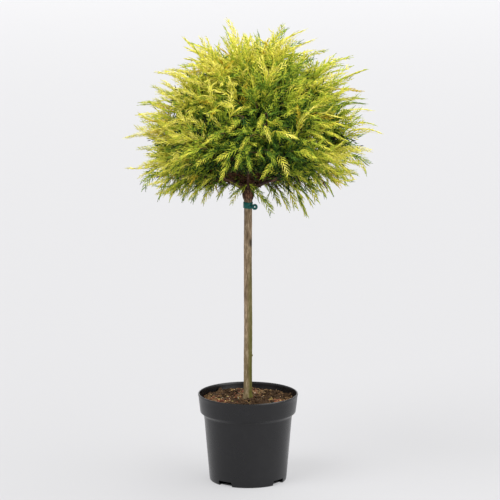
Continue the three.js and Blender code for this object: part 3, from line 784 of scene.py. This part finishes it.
def turned(points, rng, flat):
    """Points turned at random, and tipped only a little where flat is near 0."""
    a, b, c = rng.uniform(0, 2 * math.pi), rng.normal(0, flat), rng.normal(0, flat)
    rz = np.array([[math.cos(a), -math.sin(a), 0], [math.sin(a), math.cos(a), 0], [0, 0, 1]])
    rx = np.array([[1, 0, 0], [0, math.cos(b), -math.sin(b)], [0, math.sin(b), math.cos(b)]])
    ry = np.array([[math.cos(c), 0, math.sin(c)], [0, 1, 0], [-math.sin(c), 0, math.cos(c)]])
    return points @ (rz @ rx @ ry).T


def scatter(name, seed, count, size, flat, material, make=chip, patches=()):
    """Loose pieces strewn over the compost, two thirds of them in patches (x, y, spread) if there are any."""
    rng = np.random.default_rng(seed)
    pile = Pile()
    for i in range(count):
        r = math.sqrt(rng.uniform(COMPOST["bare"] ** 2, 107**2))
        a = rng.uniform(0, 2 * math.pi)
        x, y = r * math.cos(a), r * math.sin(a)
        if patches and i > count * 0.35:
            px, py, spread = patches[i % len(patches)]
            x, y = px + rng.normal(0, spread), py + rng.normal(0, spread)
            if not COMPOST["bare"] < math.hypot(x, y) < 107:
                continue
        length = rng.uniform(*size)
        width, thick = length * rng.uniform(0.3, 0.6), length * rng.uniform(0.1, 0.22) + 0.6
        points, faces = make(rng, length, width, thick)
        points = turned(points, rng, flat)
        if np.hypot(points[:, 0] + x, points[:, 1] + y).max() > POT_INSIDE:
            continue
        pile.add(points + np.array([x, y, compost_height(x, y) + rng.uniform(-0.4, 1.2)]), faces)
    return settle(mesh_object(name, *pile.arrays(), material, smooth=False), "compost")


def fibre(rng, length, width, thick):
    """A thin bent strand of coir."""
    t = np.linspace(0, 1, 6)
    bend = rng.uniform(-0.5, 0.5)
    rise = rng.uniform(0, 0.25) * length * t * (1 - t)
    return tube(np.stack([(t - 0.5) * length, bend * length * (t - 0.5) ** 2, rise], 1), np.full(6, 0.32), 3)


def grain(rng, length, width, thick):
    """A rounded grain."""
    rows = []
    for z, r in ((-0.7, 0.6), (0.0, 1.0), (0.7, 0.6)):
        angles = round_angles(6) + rng.uniform(0, 1)
        rows.append(circle(r * rng.uniform(0.8, 1.15, 6), z, angles))
    points = np.concatenate([*rows, [[0, 0, -1]], [[0, 0, 1]]]) * length * np.array([0.5, 0.42, 0.36])
    return points, ring_faces(6, 3)


def build_litter(shades):
    """Bark, coir, moss, fallen needles and grit, most of it in patches."""
    red = [(-80, -14, 15), (66, -26, 12), (-24, 44, 18)]
    dark = [(24, -34, 13), (-20, -60, 16), (-56, 50, 18), (70, 30, 18)]
    scatter("bark_chips_dark", 11, 900, (6, 17), 0.35, shades["dark"], chip, dark)
    scatter("bark_chips_brown", 12, 520, (4, 11), 0.4, shades["brown"])
    scatter("bark_chips_red", 13, 480, (3, 10), 0.4, shades["red"], chip, red)
    scatter("bark_chips_tan", 14, 380, (2, 7), 0.4, shades["tan"])
    scatter("coir_fibres", 15, 420, (8, 24), 0.25, shades["tan"], fibre)
    green = [(-58, 26, 24), (-34, -22, 20), (34, 30, 24), (56, -28, 20), (4, -50, 20)]
    gold = [(58, -34, 16), (40, -6, 12), (-52, 12, 18)]
    white = [(-36, -12, 26), (-78, -34, 18), (84, -26, 16), (-4, 46, 28), (36, -48, 24)]
    scatter("moss_grains", 16, 860, (1.4, 3.8), 0.5, shades["moss"], grain, green)
    scatter("fallen_needles", 17, 380, (2, 5.5), 0.35, shades["straw"], chip, gold)
    scatter("pale_grains", 18, 460, (1.3, 3.0), 0.5, shades["pale"], grain, white)


# ---- stem, boughs and tie


def stem_radius(z):
    """The stem's radius at a height: a flared foot, a slow taper, the swollen graft and its dome."""
    foot = COMPOST["level"]
    flare = (STEM["foot"] - STEM["low"]) * (1 - smoothstep(z, foot, foot + STEM["flare"]))
    plain = lerp(STEM["low"], STEM["high"], (z - foot) / (STEM["head_from"] - foot)) + flare
    head = lerp(STEM["high"], STEM["head"], smoothstep(z, STEM["head_from"] - 3, STEM["fork"] - 8))
    rise = np.clip((z - STEM["fork"]) / (STEM["head_top"] + 0.5 - STEM["fork"]), 0, 1)
    dome = STEM["head"] * np.sqrt(1 - rise * rise)
    return np.where(z <= STEM["head_from"] - 3, plain, np.where(z <= STEM["fork"], head, dome))


def build_stem(material):
    """The stem, with its knots and the gnarled bark of the graft."""
    sides, rings = 56, 300
    foot, top = COMPOST["level"] - 5, STEM["head_top"]
    zs = foot + (top - foot) * np.linspace(0, 1, rings) ** 0.999
    knots = [  # height, turn, width, how far it stands out
        (STEM["bud"], 0.0, 4.2, 1.7), (243, 2.6, 6, 0.8), (384, 3.9, 7, 0.9),
        (455, 1.4, 8, 0.9), (541, 5.4, 9, 1.0), (602, 0.5, 7, 0.8),
    ]  # fmt: skip
    rows = []
    angles = round_angles(sides)
    for z in zs:
        r = np.full(sides, float(stem_radius(np.array(max(z, COMPOST["level"])))))
        lean = np.array([0.35 * math.sin(z * 0.021), 0.3 * math.cos(z * 0.017), 0.0])
        swell = smoothstep(z, STEM["head_from"], STEM["fork"])
        for k, a in enumerate(angles):
            p = Vector((math.cos(a) * 1.1, math.sin(a) * 1.1, z * 0.013))
            q = Vector((math.cos(a) * 3.2, math.sin(a) * 3.2, z * 0.09))
            r[k] += 0.3 * noise.noise(p) + (0.25 + 2.4 * swell) * noise.noise(q)
            for height, turn, wide, tall in knots:
                away = math.atan2(math.sin(a - turn), math.cos(a - turn)) * 9.5
                r[k] += tall * math.exp(-((away / (wide * 0.45)) ** 2) - ((z - height) / (wide * 0.6)) ** 2)
        rows.append(lean + circle(r, z, angles))
    points = np.concatenate([*rows, [[0, 0, foot - 1], [0, 0, top + 0.2]]])
    ob = mesh_object("stem_bark", points, ring_faces(sides, rings), material)
    return settle(ob, "stem_bark", "stem")


def build_boughs(material):
    """The boughs, swollen where they leave the graft, with ribbed bark."""
    pile = Pile()
    for mass in MASSES:
        curve = bough_curve(mass)
        rng = np.random.default_rng(mass["seed"])
        points = np.array([curve.at(t) for t in np.linspace(0, 1.02, 26)])
        points[2:-1] += rng.normal(0, 0.25, (23, 3))
        share = np.linspace(0, 1, 26)
        radii = mass["ring"]["radius"] * lerp(1.12, BOUGH_TIP, share) * (1 + 0.06 * rng.normal(0, 1, 26))
        radii += 2.2 * np.exp(-((share / 0.16) ** 2))
        phase = rng.uniform(0, 6)

        def relief(angles, t, phase=phase):
            return 0.22 * np.sin(3 * angles + phase + 9 * t) + 0.14 * np.sin(7 * angles - 21 * t)

        pile.add(*tube(points, radii, 14, relief))
    nodes = [f"bough_{mass['name']}" for mass in MASSES]
    return settle(mesh_object("boughs_bark", *pile.arrays(), material), "bough_bark", *nodes)


def rounded_ring(inner, outer, low, high, sides, soft):
    """A band round the Z axis with softened edges."""
    profile = [
        (inner, low + soft), (inner + soft, low), (outer - soft, low), (outer, low + soft),
        (outer, high - soft), (outer - soft, high), (inner + soft, high), (inner, high - soft),
    ]  # fmt: skip
    rows = [circle(r, z, round_angles(sides)) for r, z in profile]
    return np.concatenate(rows), quads(sides, len(profile), wrap=True)


def build_tie(material):
    """The band round the stem with the flat end that leads to the eyelet, and the eyelet, facing forward."""
    low, high = TIE["middle"] - TIE["height"] / 2, TIE["middle"] + TIE["height"] / 2
    inner = float(stem_radius(np.array(low))) + 0.35
    points, faces = rounded_ring(inner, inner + TIE["thick"], low, high, 72, 0.45)
    wave = np.arctan2(points[:, 1], points[:, 0])
    points[:, 2] += 0.35 * np.sin(2 * wave + 0.6)
    lower = [(-0.75, -2.4), (-0.45, -2.75), (0.45, -2.75), (0.75, -2.4)]
    section = lower + [(y, -z) for y, z in reversed(lower)]
    middle = TIE["middle"] - TIE["drop"]
    xs = np.linspace(1, TIE["out"] - TIE["button"] + 0.9, 9)
    flat_end = [(x, -TIE["forward"] + y + 0.2, middle + z) for x in xs for y, z in section]
    n = len(section)
    last = len(flat_end) - n
    skin = [f[::-1] for f in quads(n, len(xs))] + [range(n), range(last + n - 1, last - 1, -1)]
    faces += [tuple(len(points) + v for v in f) for f in skin]
    settle(quads_object("tie_strap", np.concatenate([points, flat_end]), faces, material), "tie", "tie_band")
    half = TIE["deep"] / 2
    eyelet, faces = rounded_ring(TIE["hole"] - 0.4, TIE["button"], -half, half, 48, 0.9)
    inset, more = rounded_ring(TIE["hole"] + 1.0, TIE["button"] - 1.5, -half - 0.5, half + 0.5, 48, 0.4)
    faces += [tuple(len(eyelet) + v for v in f) for f in more]
    eyelet = np.concatenate([eyelet, inset])
    facing = np.stack([eyelet[:, 0], -eyelet[:, 2], eyelet[:, 1]], 1)
    facing += np.array([TIE["out"], -TIE["forward"], middle])
    settle(quads_object("tie_eyelet", facing, faces, material), "tie", "tie_button")


# ---- foliage


LEAD, FAN, INNER, FROND = range(4)
FORMS = {  # length in mm, side shoots, the longest one's length, their spread, laterals, needles on a shoot
    LEAD: [(100, 22, 22, 30, 0, 3), (96, 20, 25, 33, 1, 3)],
    FAN: [(66, 13, 19, 35, 0, 2), (64, 12, 17, 32, 0, 2), (68, 12, 21, 39, 1, 2)],
    INNER: [(48, 8, 16, 40, 0, 1), (46, 8, 15, 44, 0, 1)],
    FROND: [(66, 13, 19, 40, 0, 3), (68, 15, 20, 36, 0, 3)],
}
BRONZE = NEEDLE_SHADES  # the shade of the old foliage next to the graft
AMBER = NEEDLE_SHADES + 1  # and of a few young fans
SHADE_SLOTS = [
    "foliage_low", "foliage_low", "foliage_mid", "foliage_mid", "foliage_high", "foliage_top",
    "foliage_low", "foliage_top",
]  # fmt: skip


def underside(tip):
    """The lowest a spray may hang: lowest half way out on the sides, and higher where the front is open."""
    r = math.hypot(tip[0], tip[1])
    front = smoothstep(-tip[1] / max(r, 1), 0.1, 1.0)
    return lerp(np.interp(r, *UNDERSIDE["sides"]), np.interp(r, *UNDERSIDE["front"]), front)


def in_view(p):
    """Where a point lies in the front view, in pixels."""
    d = np.asarray(p) - CAMERA["place"]
    cos, sin = math.cos(CAMERA["pitch"]), math.sin(CAMERA["pitch"])
    ahead = d[1] * cos - d[2] * sin
    across = VIEW_MIDDLE + CAMERA["focal"] * d[0] / ahead
    return across, VIEW_MIDDLE - CAMERA["focal"] * (d[1] * sin + d[2] * cos) / ahead


def in_opening(root, start, end, size):
    """Whether the outer part of a spray would cover a place where the sky shows."""
    for t in (0.35, 0.6, 0.85, 1.0):
        x, y = in_view(root + size * (start * t + (end - start) * t * t / 2))
        if any(math.hypot(x - across, y - down) < wide for across, down, wide in OPENINGS):
            return True
    return False


def shade_of(tip, dice):
    """A spray's shade from 0, deep green, to 4, gold: deep inside and in front, gold outside and above,
    partly its own colour, partly painted light and shade.
    """
    out = tip - FORK
    distance = np.linalg.norm(out)
    d = out / distance
    share = distance / reach_at(d)
    tilt, aside = tilt_of(d), abs(d[0])
    # lighter towards the top: partly the gold of growth in the sun, partly painted light from above
    height = 0.7 * smoothstep(tilt, 80, 30)
    # painted shade: darker in front, under the overhanging top; a few fronds there stay bright
    painted_front_shade = smoothstep(aside, 0.62, 0.24) * smoothstep(tilt, 50, 72) * (d[1] < 0)
    bright = 2.8 if dice.next() < 0.13 else 0
    # painted light: the low sides lighter, as if lit by the pale floor
    skirt = 1.9 * smoothstep(tilt, 84, 100) * smoothstep(aside, 0.2, 0.5)
    # painted light: lighter on the left and right sides
    edge = 1.8 * (smoothstep(aside, 0.35, 0.8) * smoothstep(tilt, 45, 85))
    # painted light: lighter on the left, towards the key light, and a little on the right
    painted_key_light = (1.05 if d[0] < 0 else 0.15) * smoothstep(aside, 0.0, 0.5) * smoothstep(tilt, 80, 40)
    chance = dice.between(-1, 1) * lerp(0.6, 1.6, painted_front_shade)
    # share: gold out at the tips and deep green inside, partly the plant's own colour, partly painted light
    # and painted shade
    shade = 3.6 * (share - 0.58) / 0.42 + height + painted_key_light + skirt + edge - painted_front_shade * (3.2 - bright) + chance
    return max(shade, 2.4 * smoothstep(share, 0.7, 0.95))


class Growth:
    """Every spray of the crown by kind and form: its root, directions, face, size and shade."""

    def __init__(self):
        self.rows = {(kind, i): [] for kind, forms in FORMS.items() for i in range(len(forms))}
        self.tone = 0.0

    def add(self, kind, root, start, end, size, dice, shade=None, loose=False):
        """Adds a spray, lifted and shortened until it clears the underside. A loose one may hang lower."""
        straggle = 28 * max(0, dice.between(-2.5, 1)) if math.hypot(root[0], root[1]) > 55 else 0
        if loose:
            straggle = 200
        for _ in range(5):
            tip = root + size * (start + end) / 2
            if tip[2] >= underside(tip) - straggle:
                break
            start, end = unit(start + UP * 0.3), unit(end + UP * 0.45)
            size *= 0.92
        else:
            return
        if in_opening(root, start, end, size):
            return
        if shade is None:
            shade = shade_of(tip, dice) + self.tone - (0.7 if kind == LEAD else 0)
        if shade != BRONZE:
            shade = int(np.clip(round(shade), 0, NEEDLE_SHADES - 2))
        if dice.next() < 0.09 and shade in (3, 4) and kind == FAN:
            shade = AMBER
        radial = unit(tip - FORK)
        chance = np.array([dice.between(-1, 1) for _ in range(3)])
        face = radial - start * (radial @ start) + (0.2 if kind == FROND else 0.45) * chance
        face = unit(face - start * (face @ start))
        form = int(dice.next() * len(FORMS[kind]))
        self.rows[kind, form].append((root, start, end, face, size, shade))


def dress(growth, curve, tip, length, dice):
    """The sprays of one twig: its end and a fork beside it, side sprays, and short ones in the shade."""
    end = curve.at(1)
    start = curve.tangent(1)
    growth.tone = dice.between(-1.1, 0.9)
    low = tip[2] < LOW_TIP
    growth.add(LEAD, end, start, 2 * (tip - end) / length - start, length, dice)
    turn = dice.between(0, 360)
    forks = 4 if tip[2] > 960 else 3 if tip[2] > 900 else 2
    for k in range(forks):
        d = leant(start, dice.between(18, 30), turn + 360 / forks * k + dice.between(-35, 35))
        growth.add(FAN, curve.at(0.97), d, turned_out(d, 0.8), length * dice.between(0.66, 0.88), dice)
    along = curve.length * 0.97
    step = SIDE_STEP * (2.5 if low else 1) * lerp(1, 1.4, smoothstep(abs(tip[0]), 150, 260))
    while along > curve.length * (0.12 if low else 0.42):
        along -= step * dice.between(0.8, 1.2)
        share = max(0.05, along / curve.length)
        turn += GOLDEN
        d = leant(curve.tangent(share), dice.between(30, 50), turn)
        growth.add(FAN, curve.at(share), d, turned_out(d, dice.between(0.5, 1.0)), dice.between(50, 72), dice)
    shaded(growth, curve, 0.8, 0.02, 7.0 if low else 1, dice)


def stand_out(growth, points, twigs, dice):
    """The bright fronds of the shaded side, each on a clothed twig of its own from the nearest wood."""
    for x, y, z, lean, size, shade in FRONDS:
        a = math.radians(lean)
        end = unit(np.array([math.sin(a), -0.2, -math.cos(a)]))
        start = unit(np.array([math.sin(a), -0.9, -0.35 * math.cos(a)]))
        root = np.array([x, y, z]) - size * (start + end) / 2
        growth.add(FROND, root, start, end, size * 1.05, dice, shade, loose=True)
        nearest = points[np.argmin(((points - root) ** 2).sum(1))]
        away = np.linalg.norm(root - nearest)
        line = Curve(nearest, root - start * away * 0.5, root + start * 2, 7)
        twigs.add(*tube(line.points, np.linspace(1.2, 0.8, 7), 5))
        for share in (0.45, 0.8):
            side = leant(line.tangent(share), dice.between(20, 40), dice.between(0, 360))
            growth.add(INNER, line.at(share), side, turned_out(side, 0.6), dice.between(34, 46), dice, 0.8)


def hang(growth, points, dice):
    """The loose fronds that hang from the lowest limbs, each from the wood nearest to its place."""
    points = points[(points[:, 1] > -75) & (points[:, 1] < 150)]
    for k, (x, z) in enumerate(HANGERS):
        outward = math.copysign(1, x)
        away = (points - np.array([x - 42 * outward, k % 4 * 45 - 30, z + 50])) * np.array([1, 0.4, 1])
        root = points[np.argmin((away**2).sum(1))]
        tip = np.array([x, root[1] * 1.1, z - root[1] * 0.19])
        end = unit(np.array([0.35 * outward, 0, -1]))
        size = float((tip - root) @ (tip - root) / ((tip - root) @ end))
        start = 2 * (tip - root) / size - end
        growth.add(FROND, root, start, end, size, dice, dice.between(2.0, 3.6), loose=True)
        at = root + size * (0.3 * start + 0.045 * (end - start))
        for hand in (-1, 1):
            side = unit(start + hand * 0.6 * np.array([0, 1, 0]) + UP * dice.between(-0.3, 0.3))
            length = size * dice.between(0.5, 0.7)
            growth.add(FAN, at, side, unit(side + end), length, dice, dice.between(1.4, 3.4), loose=True)


def fringe(growth, curve, dice):
    """Small loose sprays that hang from a low stem."""
    along = dice.between(0.05, 0.15)
    while along < 1:
        root = curve.at(along)
        ahead = curve.tangent(along)
        side, _ = cross_axes(ahead)
        start = unit(ahead + side * dice.between(-0.7, 0.7) - UP * dice.between(0.2, 0.8))
        end = unit(start * 0.6 - UP * dice.between(0.2, 1.0))
        if not (root[1] < -40 and abs(root[0]) < 60):
            growth.add(FAN, root, start, end, dice.between(34, 56), dice, dice.between(1.2, 3.7), loose=True)
        along += 13 * dice.between(0.8, 1.3) / curve.length


def shaded(growth, curve, along, low, wide, dice):
    """Short sprays on a limb from one share of it back to another, wide times as far apart as usual, dark
    partly in their own colour and partly as painted shade.
    """
    turn = dice.between(0, 360)
    while along > low:
        turn += GOLDEN
        root = curve.at(along)
        d = leant(curve.tangent(along), dice.between(40, 80), turn)
        away = np.linalg.norm(root - FORK) * (0.8 if root[1] < 0 else 1)
        old = away < dice.between(50, 120) and root[2] < 750
        shade = BRONZE if old and dice.next() < 0.7 else dice.between(-1.6, 1.4)
        if not old:
            aside, up = abs(root[0]), root[2]
            # painted light: lighter towards the top, on the sides, and most on the low sides, as if lit by
            # the floor
            shade += 2.2 * smoothstep(up, 830, 950)
            shade += smoothstep(aside, 90, 170) * smoothstep(up, 690, 780)
            shade += 3.0 * smoothstep(aside, 50, 130) * smoothstep(up, 790, 710)
        growth.add(INNER, root, d, turned_out(d, 0.4), dice.between(36, 62), dice, shade)
        along -= INNER_STEP * dice.between(0.8, 1.3) * wide * (1.5 if old else 1) / curve.length


def twiglets(bough, dice, pile):
    """Thin bare twigs round a bough, close to the graft."""
    turn = dice.between(0, 360)
    for k in range(8):
        share = 0.2 + 0.1 * k
        turn += GOLDEN
        root = bough.at(share)
        d = leant(bough.tangent(share), dice.between(25, 60), turn)
        if d[2] < 0.15:
            continue
        length = dice.between(34, 78)
        side, over = cross_axes(d)
        bow = (side * dice.between(-0.2, 0.2) + over * dice.between(-0.2, 0.2)) * length
        t = np.linspace(0, 1, 5)[:, None]
        pile.add(*tube(root + d * length * t + bow * t * t, np.linspace(1.1, 0.45, 5), 4))


def risers(pile, dice):
    """Thin limbs that rise steeply from the graft and arch outwards, with a few bare twigs on them."""
    for k in range(RISERS):
        turn = GOLDEN * k + dice.between(-15, 15)
        tilt = dice.between(26, 54)
        length = dice.between(90, 150)
        root = FORK + np.array([0, 0, dice.between(-4, 10)]) + direction(90, turn) * 4
        bend = root + direction(tilt - 14, turn) * length * 0.5
        limb = Curve(root, bend, root + direction(tilt + 10, turn) * length, 9)
        pile.add(*tube(limb.points, np.linspace(dice.between(1.7, 2.8), 0.8, 9), 6))
        twiglets(limb, dice, pile)


def grow_crown(twig_bark):
    """The twigs, and every spray of the crown."""
    growth = Growth()
    twigs = Pile()
    risers(twigs, Dice(SEED + 502))
    low_wood = []
    for mass in MASSES:
        dice = Dice(mass["seed"] + 300)
        bough = bough_curve(mass)
        wood = wood_of(mass)
        shaded(growth, bough, 1.0, 0.3 if mass["tilt"] < 80 else 0.5, 1, dice)
        twiglets(bough, dice, twigs)
        if mass["tilt"] > 60:
            low_wood += [bough.points, *(curve.points for curve, *_ in wood)]
        if mass["tilt"] > 80:
            for curve, *_ in wood[:4]:
                fringe(growth, curve, dice)
        for curve, tip, length, thick, thin in wood:
            points = np.array([curve.at(t) for t in np.linspace(0, 1, 9)])
            twigs.add(*tube(points, np.linspace(thick, thin, 9), 6))
            dress(growth, curve, tip, length, dice)
    low_wood = np.concatenate(low_wood)
    hang(growth, low_wood, Dice(SEED + 500))
    stand_out(growth, low_wood, twigs, Dice(SEED + 501))
    settle(mesh_object("twigs_wood", *twigs.arrays(), twig_bark), "bough_bark")
    return growth


def build_crown(twig_bark, shades):
    """The twigs, and the needles of each shade in pieces of their own."""
    piles = [Pile() for _ in range(NEEDLE_SHADES + 2)]
    for (kind, i), rows in grow_crown(twig_bark).rows.items():
        length, sides, widest, spread, subs, needles = FORMS[kind][i]
        template = Spray(40 + 10 * kind + i, length, sides, widest, spread, subs, needles)
        roots, starts, ends, faces, sizes, levels = (np.array(column) for column in zip(*rows))
        frames = np.stack([starts, np.cross(faces, starts), faces], axis=2)
        for part, pile in enumerate(template.parts):
            for level in range(NEEDLE_SHADES + 2):
                step = part * (2 if kind == INNER else 1)
                chosen = np.where(levels >= BRONZE, levels, levels + step) == level
                if chosen.any():
                    made = place(pile.arrays(), *(v[chosen] for v in (roots, starts, ends, frames, sizes)))
                    piles[level].add(*made)
    masses = [f"foliage_{mass['name']}" for mass in MASSES]
    for level, pile in enumerate(piles):
        points, faces = pile.arrays()
        parts = math.ceil(len(faces) / MOST_FACES)
        cuts = np.linspace(0, len(faces), parts + 1).astype(int)
        for i in range(parts):
            used, renumbered = np.unique(faces[cuts[i] : cuts[i + 1]], return_inverse=True)
            name = f"needles_{level}_{'abcdef'[i]}"
            ob = mesh_object(name, points[used], renumbered.reshape(-1, 3), shades[level])
            settle(ob, SHADE_SLOTS[level], *masses)


# ---- stage, light and camera


def build_stage():
    """The white floor, which glows a little so that it meets the backdrop without an edge."""
    surface = Surface("stage_white", (0.18, 0.18, 0.184, 1), 0.9, 0.1)
    surface.feed(surface.inputs, {"Emission Color": (1.0, 0.995, 1.01, 1), "Emission Strength": 0.41})
    edge = circle(FLOOR_RADIUS, 0, round_angles(64))
    quads_object("studio_floor", edge, [range(64)], surface.mat, smooth=False)


def soft_light(name, origin, strength, angle):
    """An even light from the direction of origin, as wide as a studio softbox."""
    data = bpy.data.lights.new(name, "SUN")
    data.energy, data.angle = strength, math.radians(angle)
    ob = add_object(name, data)
    ob.location = origin
    ob.rotation_euler = (-Vector(origin)).to_track_quat("-Z", "Y").to_euler()


def build_light():
    bpy.context.scene.view_settings.view_transform = "Standard"
    world = bpy.data.worlds.new("studio")
    world.use_nodes = True
    inputs = world.node_tree.nodes["Background"].inputs
    inputs["Color"].default_value = (1.0, 1.0, 1.0, 1)
    inputs["Strength"].default_value = 0.8
    bpy.context.scene.world = world
    soft_light("key", (-2.4, -2.0, 3.7), 2.5, 40)
    soft_light("top", (1.6, 0.9, 4.0), 1.6, 50)
    soft_light("fill", (3.0, -2.4, 2.2), 1.8, 60)
    data = bpy.data.lights.new("backdrop", "AREA")
    data.energy, data.size = 640, 9
    add_object("backdrop", data).location = (0, 15, 6)


def build_camera():
    data = bpy.data.cameras.new("camera")
    data.sensor_width = 36
    data.sensor_fit = "HORIZONTAL"
    data.lens = CAMERA["focal"] / (2 * VIEW_MIDDLE) * 36
    data.clip_end = 40
    ob = add_object("camera", data)
    ob.location = CAMERA["place"] / 1000
    ob.rotation_euler = (math.pi / 2 - CAMERA["pitch"], 0, 0)
    bpy.context.scene.camera = ob


# ---- all together

build_camera()
build_light()
build_stage()

build_pot(moulded_plastic("pot_plastic", srgb(5, 5, 8), 0.29, 0.48))
build_compost(chip_material("compost_fines", srgb(24, 17, 10), srgb(58, 42, 27)))
build_litter(
    dict(
        dark=chip_material("bark_dark", srgb(32, 22, 14), srgb(68, 50, 33)),
        brown=chip_material("bark_brown", srgb(64, 45, 29), srgb(118, 92, 62)),
        red=chip_material("bark_red", srgb(76, 40, 29), srgb(122, 74, 56)),
        tan=chip_material("bark_tan", srgb(118, 94, 64), srgb(178, 150, 112)),
        moss=chip_material("moss", srgb(62, 62, 20), srgb(132, 126, 58)),
        straw=chip_material("fallen_foliage", srgb(128, 106, 54), srgb(208, 186, 116)),
        pale=chip_material("grit", srgb(186, 176, 156), srgb(236, 228, 212), 0.7),
    )
)
build_stem(
    bark_material(
        "stem_bark",
        (srgb(78, 61, 45), srgb(126, 106, 83), srgb(182, 163, 137)),
        260,
        algae=srgb(74, 74, 15),
        head=(srgb(24, 15, 11), srgb(92, 58, 40), srgb(158, 122, 92)),
    )
)
build_boughs(bark_material("bough_bark", (srgb(22, 14, 10), srgb(58, 37, 27), srgb(108, 73, 53)), 200))
build_tie(moulded_plastic("tie_plastic", srgb(2, 82, 76), 0.42, 0.3))
build_crown(
    bark_material("twig_bark", (srgb(36, 22, 15), srgb(82, 54, 38), srgb(134, 96, 68)), 220, depth=0.0003),
    [
        # the deep and green needles: partly the inner foliage's own dark green, partly painted shade of the
        # crown's inside
        needle_material("needles_deep", srgb(16, 32, 16)),
        needle_material("needles_green", srgb(44, 78, 26)),
        needle_material("needles_mid", srgb(99, 129, 40)),
        needle_material("needles_lime", srgb(166, 180, 54)),
        needle_material("needles_gold", srgb(212, 207, 74)),
        needle_material("needles_tip", srgb(230, 221, 106)),
        needle_material("needles_bronze", srgb(82, 54, 32), 0.6),
        needle_material("needles_amber", srgb(204, 180, 54)),
    ],
)
